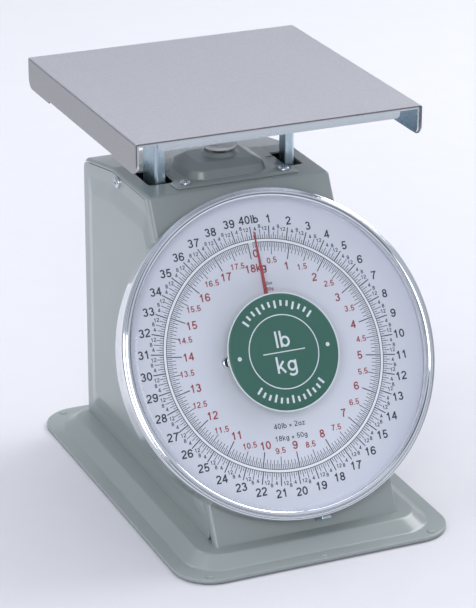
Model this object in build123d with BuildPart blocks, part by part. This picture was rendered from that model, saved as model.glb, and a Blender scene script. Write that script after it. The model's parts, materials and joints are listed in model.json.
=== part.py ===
from build123d import *

import os
from math import acos, atan, cos, degrees, pi, radians, sin, sqrt, tan

# Mechanical dial platform scale. Millimetres, +Z up, +X right, front towards -Y.
# The origin is the centre of the footprint at floor level.

# ---------------------------------------------------------------- driving dimensions
sheet = 1.2                 # painted steel sheet
gap = 0.15                  # gap between neighbouring sheets
screw_r = 2.0               # M4 fasteners
screw_hole_r = 2.1
head_r = 4.0
head_height = 2.4
low_head_r, low_head_height = 3.4, 2.0      # low plain heads inside the mechanism

base_width, base_depth = 195.0, 285.8
base_corner_r = 26.0
rim_bottom_z = 1.0
flange_top_z = 3.4
plateau_z = 10.5
base_flange = 10.0          # flat flange around the raised part
wall_run = 9.2              # horizontal run of the sloping wall
foot_x, foot_y = 79.5, 136.0
foot_r = 3.8

housing_half = 66.0
tilt = radians(29.2)                      # front panel and dial lean back from the vertical
front_foot_y = -114.2
roof_z = 214.0
kink_y = 63.6
back_y = 119.0
back_top_z = 204.2

dial_z = 112.6
bezel_r = 110.3
bezel_depth = 17.4
opening_r = 104.3
dial_face_h = 2.7
lens_thickness = 2.0
lens_rise = 6.2
lens_seat_h = 13.4
centre_disc_r = 39.6

platform_width, platform_depth = 200.0, 200.0
platform_top_z = 276.4
platform_y = 32.5
platform_sheet = 1.0
platform_flange = 21.0
frame_sheet = 1.5

post_x = 51.0                             # outer face of each post
post_front_y, post_depth = 22.5, 22.0
post_sheet = 1.6
post_flange = 7.0
post_bottom_z = 45.0
post_screw_x, post_screw_y = 43.5, (28.3, 40.3)
bar_screw_y = (31.0, 40.0)

pinion_teeth = 15
gear_module = 0.4
pressure_angle = radians(20)
backlash = 0.08
rack_h = -20.0                            # rack and pinion plane, measured ahead of the front panel
rack_thickness = 3.0
rack_pin_v = 58.0                         # rack pin above the pinion, along the dial's up direction

zero_x, zero_y = 2.0, 38.0                # zero-adjusting screw
spring_spread = 16.0
spring_mean_r = 10.0
spring_wire_r = 1.33
spring_bottom_z, spring_top_z = 142.0, 189.0
bar_top_z = 140.5

link_length = 66.0
link_rear_y = 100.0
upper_link_z, lower_link_z = 170.0, 50.0
link_arm_x = 41.0
link_sheet = 1.5

chassis_half, chassis_sheet = 37.5, 1.6
chassis_front_y, chassis_back_y = 60.0, 110.0
chassis_foot = 11.0
foot_screw_y = (70.0, 98.0)

# ---------------------------------------------------------------- derived values
front_top_y = front_foot_y + (roof_z - plateau_z) * tan(tilt)
dial_y = front_foot_y + (dial_z - plateau_z) * tan(tilt)
roof_slope = atan((roof_z - back_top_z) / (back_y - kink_y))
foot_width = base_width - 2 * base_flange
foot_depth = base_depth - 2 * base_flange
plateau_width = foot_width - 2 * wall_run
plateau_depth = foot_depth - 2 * wall_run
pitch_r = gear_module * pinion_teeth / 2
full_travel = 2 * pi * pitch_r / cos(tilt)       # platform travel for one turn of the pointer
link_rise = full_travel / 2
link_reach = sqrt(link_length**2 - link_rise**2)
link_pin_y = link_rear_y - link_reach
link_angle = degrees(atan(link_rise / link_reach))

# Dial plane: local x to the right, local y up the dial, normal out towards the reader.
dial_plane = Plane(origin=(0, dial_y, dial_z), x_dir=(1, 0, 0), z_dir=(0, -cos(tilt), sin(tilt)))
# Section through the dial axis: local x is the radius, local y the height along the axis.
dial_section = Plane(origin=(0, dial_y, dial_z), x_dir=(1, 0, 0), z_dir=(0, -sin(tilt), -cos(tilt)))
dial_axis = Axis((0, dial_y, dial_z), (0, -cos(tilt), sin(tilt)))


def finish(piece, name):
    """Label a finished piece and write it to its own file."""
    piece.part.label = name
    export_step(piece.part, f"parts/{name}.step")


def front_line_y(z, inset):
    """Y of the leaning front face at height z, moved back square to the face by inset."""
    return front_foot_y + (z - plateau_z) * tan(tilt) + inset / cos(tilt)


def side_outline(front, top, back, bottom):
    """Corners in (y, z) of the housing's side view, pulled in from each edge."""
    low_z = plateau_z + bottom
    high_z = roof_z - top
    inner_back = back_y - back
    turn_y = kink_y - top * tan(roof_slope / 2)
    return [
        (front_line_y(low_z, front), low_z),
        (front_line_y(high_z, front), high_z),
        (turn_y, high_z),
        (inner_back, high_z - (inner_back - turn_y) * tan(roof_slope)),
        (inner_back, low_z),
    ]


def on_dial(x, v, h):
    """Point in space from dial-plane coordinates."""
    return dial_plane.from_local_coords((x, v, h))


def dome_height(radius, rise, edge_height):
    """Height of a shallow spherical dome of the given rise above its seat."""
    sphere_r = (opening_r**2 + rise**2) / (2 * rise)
    return edge_height + rise - sphere_r + sqrt(sphere_r**2 - radius**2)


os.makedirs("parts", exist_ok=True)

# ---------------------------------------------------------------- common pan-head screw, head up
with BuildPart() as pan_screw:
    Cylinder(head_r, head_height, align=(Align.CENTER, Align.CENTER, Align.MIN))
    fillet(pan_screw.edges().group_by(Axis.Z)[-1], 1.7)
    with BuildSketch(Plane.XY.offset(head_height)):
        Rectangle(4.6, 0.9)
        Rectangle(0.9, 4.6)
    extrude(amount=-1.3, mode=Mode.SUBTRACT)
    with BuildSketch(Plane.XY):
        Circle(screw_r)
    extrude(amount=-6)

# ---------------------------------------------------------------- base
with BuildPart() as base_plate:
    with BuildSketch(Plane.XY.offset(rim_bottom_z)):
        RectangleRounded(base_width, base_depth, base_corner_r)
    extrude(amount=flange_top_z - rim_bottom_z)
    with BuildSketch(Plane.XY.offset(flange_top_z)):
        RectangleRounded(foot_width, foot_depth, 24)
    with BuildSketch(Plane.XY.offset(plateau_z)):
        RectangleRounded(plateau_width, plateau_depth, 17)
    loft()
    fillet(base_plate.edges().group_by(Axis.Z)[-1], 3.0)
    wall_foot = base_plate.edges().filter_by(
        lambda e: abs(e.center().Z - flange_top_z) < 0.01
        and abs(e.center().X) < foot_width / 2 + 0.1
        and abs(e.center().Y) < foot_depth / 2 + 0.1
    )
    fillet(wall_foot, 3.0)
    with BuildSketch(Plane.XY.offset(rim_bottom_z)):
        RectangleRounded(base_width - 2 * sheet, base_depth - 2 * sheet, base_corner_r - sheet)
    extrude(amount=flange_top_z - rim_bottom_z - sheet, mode=Mode.SUBTRACT)
    with BuildSketch(Plane.XY.offset(flange_top_z - sheet)):
        RectangleRounded(foot_width, foot_depth, 24)
    with BuildSketch(Plane.XY.offset(plateau_z - sheet)):
        RectangleRounded(plateau_width, plateau_depth, 17)
    loft(mode=Mode.SUBTRACT)
    foot_spacing = (2 * foot_x, 2 * foot_y)
    with BuildSketch(Plane.XY.offset(rim_bottom_z)):
        with GridLocations(*foot_spacing, 2, 2):
            Circle(1.6)
    extrude(amount=flange_top_z, mode=Mode.SUBTRACT)
    with BuildSketch(Plane.XY.offset(plateau_z + 1)):
        for side in (-1, 1):
            with Locations(*[(side * (chassis_half + 6), y) for y in foot_screw_y]):
                Circle(screw_hole_r)
    extrude(amount=-4, mode=Mode.SUBTRACT)
finish(base_plate, "base_plate")

with BuildPart() as rubber_feet:
    with BuildSketch(Plane.XY):
        with GridLocations(*foot_spacing, 2, 2):
            Circle(foot_r)
            Circle(1.6, mode=Mode.SUBTRACT)
    extrude(amount=flange_top_z - sheet)
    fillet(rubber_feet.edges().group_by(Axis.Z)[0].filter_by(lambda e: e.radius > 3), 0.6)
finish(rubber_feet, "rubber_feet")

with BuildPart() as foot_rivets:
    with BuildSketch(Plane.XY.offset(0.8)):
        with GridLocations(*foot_spacing, 2, 2):
            Circle(1.5)
    extrude(amount=flange_top_z - 0.8)
    with BuildSketch(Plane.XY.offset(flange_top_z)):
        with GridLocations(*foot_spacing, 2, 2):
            Circle(2.6)
    extrude(amount=0.9)
    fillet(foot_rivets.edges().group_by(Axis.Z)[-1], 0.7)
finish(foot_rivets, "foot_rivets")

# ---------------------------------------------------------------- housing
opening_half_x = 56.5
opening_front_y, opening_back_y = 20.0, 50.0
side_screw_y, side_screw_z = 52.2, 207.2
edge_return = 5.5                          # painted wrap turned onto each side along the front
roof_return = 2.6
dial_screw_x = 34.5
shaft_hole_r = 6.0
cover_screws_xy = ((-33.8, 11.8), (37.8, 11.8))
back_screws_xz = [(x, z) for x in (-52.0, 52.0) for z in (30.0, 180.0)]
rear_lip = 6.5                             # wrap turned down over the top of the back cover

with BuildPart() as housing_core:
    with BuildSketch(Plane.YZ.offset(-housing_half + sheet)):
        with BuildLine():
            Polyline(*side_outline(sheet, sheet, sheet, -5), close=True)
        make_face()
    extrude(amount=2 * (housing_half - sheet))
    fillet(housing_core.edges().filter_by(Axis.X).sort_by(Axis.Y)[-2:].sort_by(Axis.Z)[-1], 8.0 - sheet)
    with Locations((0, back_y, plateau_z)):
        Box(
            2 * (housing_half - sheet),
            4 * sheet,
            back_top_z - rear_lip + 2 * gap - plateau_z,
            align=(Align.CENTER, Align.CENTER, Align.MIN),
        )

with BuildPart() as housing_shell:
    with BuildSketch(Plane.YZ.offset(-housing_half)):
        with BuildLine():
            Polyline(*side_outline(0, 0, 0, 0), close=True)
        make_face()
    extrude(amount=2 * housing_half)
    cross_edges = housing_shell.edges().filter_by(Axis.X)
    fillet(cross_edges.group_by(Axis.Z)[-1].sort_by(Axis.Y)[0], 3.0)
    fillet(housing_shell.edges().filter_by(Axis.X).sort_by(Axis.Y)[-2:].sort_by(Axis.Z)[-1], 8.0)
    for side in (-1, 1):
        side_edges = housing_shell.edges().filter_by(
            lambda e: abs(e.center().X - side * housing_half) < 0.01
            and e.center().Z > plateau_z + 0.01
            and e.center().Y < back_y - 0.01
        )
        fillet(side_edges, 2.2)
    add(housing_core.part, mode=Mode.SUBTRACT)
    for x_start in (-housing_half - 1, housing_half - 4):
        with BuildSketch(Plane.YZ.offset(x_start)):
            with BuildLine():
                Polyline(*side_outline(edge_return, roof_return, -5, -5), close=True)
            make_face()
        extrude(amount=5, mode=Mode.SUBTRACT)
    with BuildSketch(Plane.XY.offset(roof_z + 1)):
        with Locations((0, (opening_front_y + opening_back_y) / 2)):
            RectangleRounded(2 * opening_half_x, opening_back_y - opening_front_y, 3)
        with Locations(*cover_screws_xy):
            Circle(screw_hole_r)
    extrude(amount=-4, mode=Mode.SUBTRACT)
    with BuildSketch(dial_plane.offset(2)):
        Circle(shaft_hole_r)
        with Locations((-dial_screw_x, 0), (dial_screw_x, 0)):
            Circle(screw_hole_r)
    extrude(amount=-6, mode=Mode.SUBTRACT)
finish(housing_shell, "housing_shell")

embossing_height = 2.2
with BuildPart() as side_panel_left:
    with BuildSketch(Plane.YZ.offset(-housing_half)):
        with BuildLine():
            Polyline(*side_outline(edge_return + gap, roof_return + gap, 0, 0), close=True)
        make_face()
    extrude(amount=sheet)
    fillet(side_panel_left.edges().filter_by(Axis.X).sort_by(Axis.Y)[0], 5.0)
    fillet(side_panel_left.edges().filter_by(Axis.X).sort_by(Axis.Y)[-2:].sort_by(Axis.Z)[-1], 6.0)
    for depth, mode in ((0.0, Mode.ADD), (sheet, Mode.SUBTRACT)):
        with BuildSketch(Plane.YZ.offset(-housing_half + depth)):
            with BuildLine():
                Polyline(*side_outline(8, 12, 9, 11), close=True)
            make_face()
            fillet(vertices(), 5)
        with BuildSketch(Plane.YZ.offset(-housing_half - embossing_height + depth)):
            with BuildLine():
                Polyline(*side_outline(15, 25, 20, 24), close=True)
            make_face()
            fillet(vertices(), 5)
        loft(mode=mode)
    with BuildSketch(Plane.YZ.offset(-housing_half - 1)):
        with Locations((side_screw_y, side_screw_z)):
            Circle(screw_hole_r)
    extrude(amount=4, mode=Mode.SUBTRACT)
finish(side_panel_left, "side_panel_left")

with BuildPart() as side_panel_right:
    mirror(side_panel_left.part, about=Plane.YZ)
finish(side_panel_right, "side_panel_right")

cover_inner_half = housing_half - sheet - gap
with BuildPart() as back_cover:
    with BuildSketch(Plane.XZ.offset(-back_y)):
        with Locations((0, plateau_z)):
            Rectangle(
                2 * cover_inner_half,
                back_top_z - rear_lip - plateau_z,
                align=(Align.CENTER, Align.MIN),
            )
        fillet(vertices().group_by(Axis.Z)[-1], 4)
    extrude(amount=sheet)
    with BuildSketch(Plane.XZ.offset(-back_y - 1)):
        with Locations(*back_screws_xz):
            Circle(screw_hole_r)
    extrude(amount=4, mode=Mode.SUBTRACT)
    with BuildSketch(Plane.XZ.offset(-back_y - 1)):
        with Locations((0, 150)):
            with GridLocations(1, 8, 1, 4):
                SlotOverall(46, 2.6)
    extrude(amount=4, mode=Mode.SUBTRACT)
finish(back_cover, "back_cover")

with BuildPart() as corner_brackets:
    bracket_sheet = 1.6
    bracket_leg, bracket_length = 10.0, 8.0
    rail_leg, rail_height = 16.0, 180.0
    inner_x = housing_half - sheet
    for side in (-1, 1):
        # short angles that take the side screws, under the roof
        for width, height in ((bracket_sheet, bracket_leg), (bracket_leg, bracket_sheet)):
            with Locations((side * (inner_x - width / 2), side_screw_y + 2, roof_z - sheet - gap)):
                Box(width, bracket_length, height, align=(Align.CENTER, Align.CENTER, Align.MAX))
    with BuildSketch(Plane.YZ.offset(-housing_half - 1)):
        with Locations((side_screw_y, side_screw_z)):
            Circle(screw_hole_r)
    extrude(amount=2 * housing_half + 2, mode=Mode.SUBTRACT)
    # upright rails that take the back cover's screws
    rail_foot_z = plateau_z + 0.1
    for side in (-1, 1):
        with Locations((side * (inner_x - 1 - rail_leg / 2), back_y - sheet - 0.1, rail_foot_z)):
            Box(rail_leg, bracket_sheet, rail_height, align=(Align.CENTER, Align.MAX, Align.MIN))
        with Locations((side * (inner_x - 1 - bracket_sheet / 2), back_y - sheet - 0.1, rail_foot_z)):
            Box(bracket_sheet, rail_leg, rail_height, align=(Align.CENTER, Align.MAX, Align.MIN))
    with BuildSketch(Plane.XZ.offset(-back_y - 1)):
        with Locations(*back_screws_xz):
            Circle(screw_hole_r)
    extrude(amount=6, mode=Mode.SUBTRACT)
finish(corner_brackets, "corner_brackets")

with BuildPart() as housing_screws:
    for side in (-1, 1):
        seat = Plane(
            origin=(side * housing_half, side_screw_y, side_screw_z), x_dir=(0, 1, 0), z_dir=(side, 0, 0)
        )
        add(seat * pan_screw.part)
    for x, z in back_screws_xz:
        seat = Plane(origin=(x, back_y, z), x_dir=(1, 0, 0), z_dir=(0, 1, 0))
        add(seat * pan_screw.part)
finish(housing_screws, "housing_screws")

# ---------------------------------------------------------------- top cover with its pressed box
cover_x = 2.0
cover_front_y, cover_back_y = 5.0, 63.0
cover_half, tab_half = 41.0, 44.5
tab_back_y = 19.0
cover_sheet = 1.0
box_levels = ((0.0, 60.0, 48.0, 14.0), (5.2, 53.0, 41.0, 11.0), (9.2, 38.0, 26.0, 5.0))
box_y = 36.0
boss_top = 12.6

with BuildPart() as top_cover:
    with BuildSketch(Plane.XY.offset(roof_z)):
        with Locations((cover_x, (cover_front_y + cover_back_y) / 2)):
            Rectangle(2 * cover_half, cover_back_y - cover_front_y)
        with Locations((cover_x, (cover_front_y + tab_back_y) / 2)):
            Rectangle(2 * tab_half, tab_back_y - cover_front_y)
        fillet(vertices().group_by(Axis.Y)[-1], 4)
        fillet(vertices().group_by(Axis.Y)[0], 2)
    extrude(amount=cover_sheet)
    for inset, mode in ((0.0, Mode.ADD), (cover_sheet, Mode.SUBTRACT)):
        for lower, upper in zip(box_levels[:-1], box_levels[1:]):
            for level in (lower, upper):
                rise, width, depth, corner = level
                base_z = roof_z + cover_sheet + rise - inset
                with BuildSketch(Plane.XY.offset(base_z)):
                    with Locations((0, box_y)):
                        RectangleRounded(width - 1.2 * inset, depth - 1.2 * inset, corner - 0.6 * inset)
            loft(mode=mode)
        boss_base_z = roof_z + cover_sheet + box_levels[-1][0] - inset
        with BuildSketch(Plane.XY.offset(boss_base_z - 3)):
            with Locations((zero_x, zero_y)):
                Circle(15.5 - inset)
        with BuildSketch(Plane.XY.offset(roof_z + boss_top - inset)):
            with Locations((zero_x, zero_y)):
                Circle(10.8 - inset)
        loft(mode=mode)
    with BuildSketch(Plane.XY.offset(roof_z - 1)):
        with Locations((zero_x, zero_y)):
            Circle(4.5)
        with Locations((-38.5 + cover_x, 40.3), (38.5, 40.3)):
            SlotOverall(6.0, 1.2)
        with Locations(*cover_screws_xy):
            Circle(screw_hole_r)
    extrude(amount=20, mode=Mode.SUBTRACT)
finish(top_cover, "top_cover")

with BuildPart() as cover_screws:
    with Locations(*[(x, y, roof_z + cover_sheet) for x, y in cover_screws_xy]):
        add(pan_screw.part)
finish(cover_screws, "cover_screws")

# ---------------------------------------------------------------- dial housing
pan_outer_r = bezel_r - 1.6
pan_top_h = 10.8
gasket_top_h = 12.9

with BuildPart() as dial_pan:
    with BuildSketch(dial_plane.offset(0.2)):
        Circle(pan_outer_r)
    extrude(amount=pan_top_h - 0.2)
    with BuildSketch(dial_plane.offset(1.4)):
        Circle(pan_outer_r - 1.0)
    extrude(amount=pan_top_h, mode=Mode.SUBTRACT)
    with BuildSketch(dial_plane):
        Circle(5)
        with Locations((-dial_screw_x, 0), (dial_screw_x, 0)):
            Circle(screw_hole_r)
    extrude(amount=3, mode=Mode.SUBTRACT)
finish(dial_pan, "dial_pan")

with BuildPart() as dial_plate:
    with BuildSketch(dial_plane.offset(1.5)):
        Circle(pan_outer_r - 1.4)
        Circle(5, mode=Mode.SUBTRACT)
        with Locations((-dial_screw_x, 0), (dial_screw_x, 0)):
            Circle(screw_hole_r, mode=Mode.SUBTRACT)
    extrude(amount=dial_face_h - 1.5)
finish(dial_plate, "dial_plate")

with BuildPart() as dial_screws:
    for x in (-dial_screw_x, dial_screw_x):
        seat = Plane(origin=on_dial(x, 0, dial_face_h), x_dir=(1, 0, 0), z_dir=dial_plane.z_dir)
        add(seat * pan_screw.part)
finish(dial_screws, "dial_screws")

with BuildPart() as lens_gasket:
    with BuildSketch(dial_plane.offset(pan_top_h)):
        Circle(pan_outer_r)
        Circle(opening_r, mode=Mode.SUBTRACT)
    extrude(amount=gasket_top_h - pan_top_h)
finish(lens_gasket, "lens_gasket")

with BuildPart() as lens:
    with BuildSketch(dial_section):
        with BuildLine():
            mid_r = opening_r / 2
            inner_crown = (0, dome_height(0, lens_rise, lens_seat_h))
            outer_crown = (0, dome_height(0, lens_rise, lens_seat_h + lens_thickness))
            inner_edge = (opening_r - 0.6, dome_height(opening_r - 0.6, lens_rise, lens_seat_h))
            outer_edge = (
                opening_r - 0.6,
                dome_height(opening_r - 0.6, lens_rise, lens_seat_h + lens_thickness),
            )
            ThreePointArc(inner_crown, (mid_r, dome_height(mid_r, lens_rise, lens_seat_h)), inner_edge)
            Polyline(
                inner_edge,
                (pan_outer_r - 0.4, gasket_top_h + 0.1),
                (pan_outer_r - 0.4, gasket_top_h + lens_thickness),
                outer_edge,
            )
            ThreePointArc(
                outer_edge,
                (mid_r, dome_height(mid_r, lens_rise, lens_seat_h + lens_thickness)),
                outer_crown,
            )
            Line(outer_crown, inner_crown)
        make_face()
    revolve(axis=dial_axis)
finish(lens, "lens")

label_gap, label_thickness = 0.08, 0.4
with BuildPart() as centre_disc:
    with BuildSketch(dial_section):
        with BuildLine():
            front_h = lens_seat_h - label_gap
            rear_h = front_h - label_thickness
            half_r = centre_disc_r / 2
            crown_front = (0, dome_height(0, lens_rise, front_h))
            edge_front = (centre_disc_r, dome_height(centre_disc_r, lens_rise, front_h))
            edge_rear = (centre_disc_r, dome_height(centre_disc_r, lens_rise, rear_h))
            crown_rear = (0, dome_height(0, lens_rise, rear_h))
            ThreePointArc(crown_front, (half_r, dome_height(half_r, lens_rise, front_h)), edge_front)
            Line(edge_front, edge_rear)
            ThreePointArc(edge_rear, (half_r, dome_height(half_r, lens_rise, rear_h)), crown_rear)
            Line(crown_rear, crown_front)
        make_face()
    revolve(axis=dial_axis)
finish(centre_disc, "centre_disc")

bezel_wall = 0.9
with BuildPart() as bezel_ring:
    with BuildSketch(dial_section):
        with BuildLine():
            skirt_r = bezel_r - 0.3
            lip_h = bezel_depth - 1.5
            Polyline((skirt_r - bezel_wall, 0.6), (skirt_r, 0.6), (bezel_r, bezel_depth - 2.6))
            ThreePointArc(
                (bezel_r, bezel_depth - 2.6),
                (bezel_r - 0.9, bezel_depth - 0.6),
                (bezel_r - 2.4, bezel_depth),
            )
            ThreePointArc(
                (bezel_r - 2.4, bezel_depth),
                (opening_r + 0.6, bezel_depth - 0.5),
                (opening_r, lip_h),
            )
            Line((opening_r, lip_h), (opening_r + bezel_wall, lip_h))
            ThreePointArc(
                (opening_r + bezel_wall, lip_h),
                (opening_r + 1.2, bezel_depth - 1.1),
                (bezel_r - 2.4, bezel_depth - bezel_wall),
            )
            ThreePointArc(
                (bezel_r - 2.4, bezel_depth - bezel_wall),
                (bezel_r - 1.5, bezel_depth - 1.35),
                (bezel_r - bezel_wall, bezel_depth - 2.8),
            )
            Line((bezel_r - bezel_wall, bezel_depth - 2.8), (skirt_r - bezel_wall, 0.6))
        make_face()
    revolve(axis=dial_axis)
finish(bezel_ring, "bezel_ring")

with BuildPart() as bezel_clip:
    with BuildSketch(dial_plane.offset(0.8)):
        with Locations((9.5, -bezel_r - 0.9)):
            Rectangle(7, 1.6)
    extrude(amount=12)
    fillet(bezel_clip.edges().filter_by(lambda e: e.length < 2), 0.5)
finish(bezel_clip, "bezel_clip")

# ---------------------------------------------------------------- platform and its frame
platform_under_z = platform_top_z - platform_sheet
frame_top_z = platform_under_z - 0.1
frame_half = platform_width / 2 - platform_sheet - 0.15
frame_inset_y = 1.2
frame_flange = 18.8
front_bar_height = 6.0
front_bar_half = 84.5
flange_relief = 1.6

with BuildPart() as platform_plate:
    with Locations((0, platform_y, platform_top_z - platform_flange)):
        Box(platform_width, platform_depth, platform_flange, align=(Align.CENTER, Align.CENTER, Align.MIN))
    top_edges = platform_plate.edges().filter_by(Axis.Y).group_by(Axis.Z)[-1]
    fillet(top_edges, 1.2)
    with Locations((0, platform_y, platform_top_z - platform_flange - 1)):
        Box(
            platform_width - 2 * platform_sheet,
            platform_depth + 2,
            platform_flange + 1 - platform_sheet,
            align=(Align.CENTER, Align.CENTER, Align.MIN),
            mode=Mode.SUBTRACT,
        )
    fillet(platform_plate.edges().filter_by(Axis.X).group_by(Axis.Z)[0], 7.0)
    with BuildSketch(Plane.YZ.offset(-platform_width / 2 - 1)):
        with Locations((platform_y, platform_top_z - platform_flange)):
            Rectangle(platform_depth - 80, 2 * flange_relief)
        fillet(vertices(), flange_relief * 0.9)
    extrude(amount=platform_width + 2, mode=Mode.SUBTRACT)
finish(platform_plate, "platform_plate")

with BuildPart() as platform_frame:
    frame_depth = platform_depth - 2 * frame_inset_y
    frame_low_z = frame_top_z - frame_flange
    with Locations((0, platform_y, frame_low_z)):
        Box(2 * frame_half, frame_depth, frame_flange, align=(Align.CENTER, Align.CENTER, Align.MIN))
    fillet(platform_frame.edges().filter_by(Axis.Y).group_by(Axis.Z)[-1], 1.6)
    with Locations((0, platform_y, frame_low_z - 1)):
        Box(
            2 * (frame_half - frame_sheet),
            frame_depth + 2,
            frame_flange + 1 - frame_sheet,
            align=(Align.CENTER, Align.CENTER, Align.MIN),
            mode=Mode.SUBTRACT,
        )
    fillet(platform_frame.edges().filter_by(Axis.X).group_by(Axis.Z)[0], 5.0)
    for y in (platform_y - frame_depth / 2, platform_y + frame_depth / 2 - frame_sheet):
        with BuildSketch(Plane.XZ.offset(-y)):
            with Locations((0, frame_top_z)):
                Rectangle(2 * front_bar_half, 2 * front_bar_height)
            fillet(vertices(), 2.5)
        extrude(amount=-frame_sheet)
    with Locations((0, platform_y, frame_top_z)):
        Box(
            2 * frame_half,
            frame_depth + 2,
            2 * front_bar_height,
            align=(Align.CENTER, Align.CENTER, Align.MIN),
            mode=Mode.SUBTRACT,
        )
    with BuildSketch(Plane.XY.offset(frame_top_z)):
        with Locations((0, platform_y)):
            with GridLocations(0, 124, 1, 2):
                RectangleRounded(120, 46, 8)
        for side in (-1, 1):
            with Locations(*[(side * post_screw_x, y) for y in post_screw_y]):
                Circle(screw_hole_r)
    extrude(amount=-frame_sheet, mode=Mode.SUBTRACT)
finish(platform_frame, "platform_frame")

# ---------------------------------------------------------------- posts, crossbar and their fasteners
post_top_z = frame_top_z - frame_sheet
post_back_y = post_front_y + post_depth
post_inner_x = post_x - post_sheet
bar_front_y, bar_back_y = 27.0, 43.5
bar_sheet = 2.5
bar_tab_z = 126.0
pin_r = 2.0
bar_screw_z = 132.0

with BuildPart() as post_right:
    with BuildSketch(Plane.XY.offset(post_bottom_z)):
        with Locations((post_x, post_front_y)):
            Rectangle(post_sheet, post_depth, align=(Align.MAX, Align.MIN))
            Rectangle(post_flange, post_sheet, align=(Align.MAX, Align.MIN))
    extrude(amount=post_top_z - post_bottom_z)
    outer_bend = post_right.edges().filter_by(Axis.Z).sort_by(Axis.Y)[:2].sort_by(Axis.X)[-1]
    fillet(outer_bend, 2.4)
    with Locations((post_x, post_front_y + post_sheet, post_top_z)):
        Box(14.5, post_depth - post_sheet, post_sheet, align=(Align.MAX, Align.MIN, Align.MAX))
    with BuildSketch(Plane.XY.offset(post_top_z)):
        with Locations(*[(post_screw_x, y) for y in post_screw_y]):
            Circle(screw_hole_r)
    extrude(amount=-3, mode=Mode.SUBTRACT)
    with BuildSketch(Plane.YZ.offset(post_inner_x - 1)):
        with Locations((link_pin_y, upper_link_z + link_rise), (link_pin_y, lower_link_z + link_rise)):
            Circle(pin_r + 0.02)
        with Locations(*[(y, bar_screw_z) for y in bar_screw_y]):
            Circle(screw_hole_r)
    extrude(amount=4, mode=Mode.SUBTRACT)
finish(post_right, "post_right")

with BuildPart() as post_left:
    mirror(post_right.part, about=Plane.YZ)
finish(post_left, "post_left")

with BuildPart() as post_pins:
    for side in (-1, 1):
        for z in (upper_link_z + link_rise, lower_link_z + link_rise):
            outward = Plane(
                origin=(side * (link_arm_x - 1.5), link_pin_y, z), x_dir=(0, 1, 0), z_dir=(side, 0, 0)
            )
            with BuildSketch(outward):
                Circle(pin_r)
            extrude(amount=post_x + 0.6 - link_arm_x + 1.5)
            with BuildSketch(outward.offset(4.6)):
                Circle(3.6)
            extrude(amount=post_inner_x - link_arm_x - 3.1)
finish(post_pins, "post_pins")

plug_x = (zero_x - spring_spread, zero_x + spring_spread)
plug_r = spring_mean_r - spring_wire_r - 0.1
arm_x, arm_sheet = 8.4, 1.6
arm_screw = (14.2, 31.5)
rod_x = -25.0

with BuildPart() as carrier_bar:
    bar_half = post_inner_x - 0.05
    bar_mid_y = (bar_front_y + bar_back_y) / 2
    with Locations((0, bar_mid_y, bar_top_z)):
        Box(2 * bar_half, bar_back_y - bar_front_y, bar_sheet, align=(Align.CENTER, Align.CENTER, Align.MAX))
    for side in (-1, 1):
        with Locations((side * (bar_half - 0.9), bar_mid_y, bar_tab_z)):
            Box(
                1.8,
                bar_back_y - bar_front_y,
                bar_top_z - bar_tab_z,
                align=(Align.CENTER, Align.CENTER, Align.MIN),
            )
    with BuildSketch(Plane.YZ.offset(-post_x)):
        with Locations(*[(y, bar_screw_z) for y in bar_screw_y]):
            Circle(screw_hole_r)
    extrude(amount=2 * post_x, mode=Mode.SUBTRACT)
    with BuildSketch(Plane.XY.offset(bar_top_z)):
        with Locations(*[(x, zero_y - 2) for x in plug_x], (rod_x, zero_y - 2), arm_screw):
            Circle(screw_hole_r)
    extrude(amount=-4, mode=Mode.SUBTRACT)
finish(carrier_bar, "carrier_bar")

with BuildPart() as carrier_screws:
    for side in (-1, 1):
        for y in bar_screw_y:
            seat = Plane(origin=(side * post_x, y, bar_screw_z), x_dir=(0, 1, 0), z_dir=(side, 0, 0))
            add(seat * pan_screw.part)
        for y in post_screw_y:
            seat = Plane(
                origin=(side * post_screw_x, y, post_top_z - post_sheet), x_dir=(1, 0, 0), z_dir=(0, 0, -1)
            )
            with BuildSketch(seat.offset(-post_sheet - frame_sheet + 0.2)):
                Circle(screw_r)
            extrude(amount=post_sheet + frame_sheet - 0.2)
            with BuildSketch(seat):
                Circle(low_head_r)
            extrude(amount=low_head_height)
    arm_seat = Plane(
        origin=(*arm_screw, bar_top_z - bar_sheet - arm_sheet), x_dir=(1, 0, 0), z_dir=(0, 0, -1)
    )
    with BuildSketch(arm_seat.offset(-bar_sheet - arm_sheet + 0.1)):
        Circle(screw_r)
    extrude(amount=bar_sheet + arm_sheet - 0.1)
    with BuildSketch(arm_seat):
        Circle(low_head_r)
    extrude(amount=low_head_height)
finish(carrier_screws, "carrier_screws")

# ---------------------------------------------------------------- springs between hanger and crossbar
spring_y = zero_y - 2
hanger_low_z, hanger_sheet = 190.0, 4.0
spring_turns = 15

with BuildPart() as spring_coil:
    coil_height = spring_top_z - spring_bottom_z - 2 * spring_wire_r
    with BuildLine() as coil_path:
        Helix(
            pitch=coil_height / spring_turns,
            height=coil_height,
            radius=spring_mean_r,
            center=(0, 0, spring_bottom_z + spring_wire_r),
        )
    with BuildSketch(Plane(origin=coil_path.line @ 0, z_dir=coil_path.line % 0)):
        Circle(spring_wire_r)
    sweep()

with BuildPart() as load_springs:
    with Locations(*[(x, spring_y, 0) for x in plug_x]):
        add(spring_coil.part)
finish(load_springs, "load_springs")

with BuildPart() as lower_spring_plugs:
    for x in plug_x:
        with BuildSketch(Plane.XY.offset(bar_top_z)):
            with Locations((x, spring_y)):
                Circle(plug_r)
        extrude(amount=11)
        with BuildSketch(Plane.XY.offset(bar_top_z)):
            with Locations((x, spring_y)):
                Circle(screw_r)
        extrude(amount=-5)
finish(lower_spring_plugs, "lower_spring_plugs")

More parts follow.
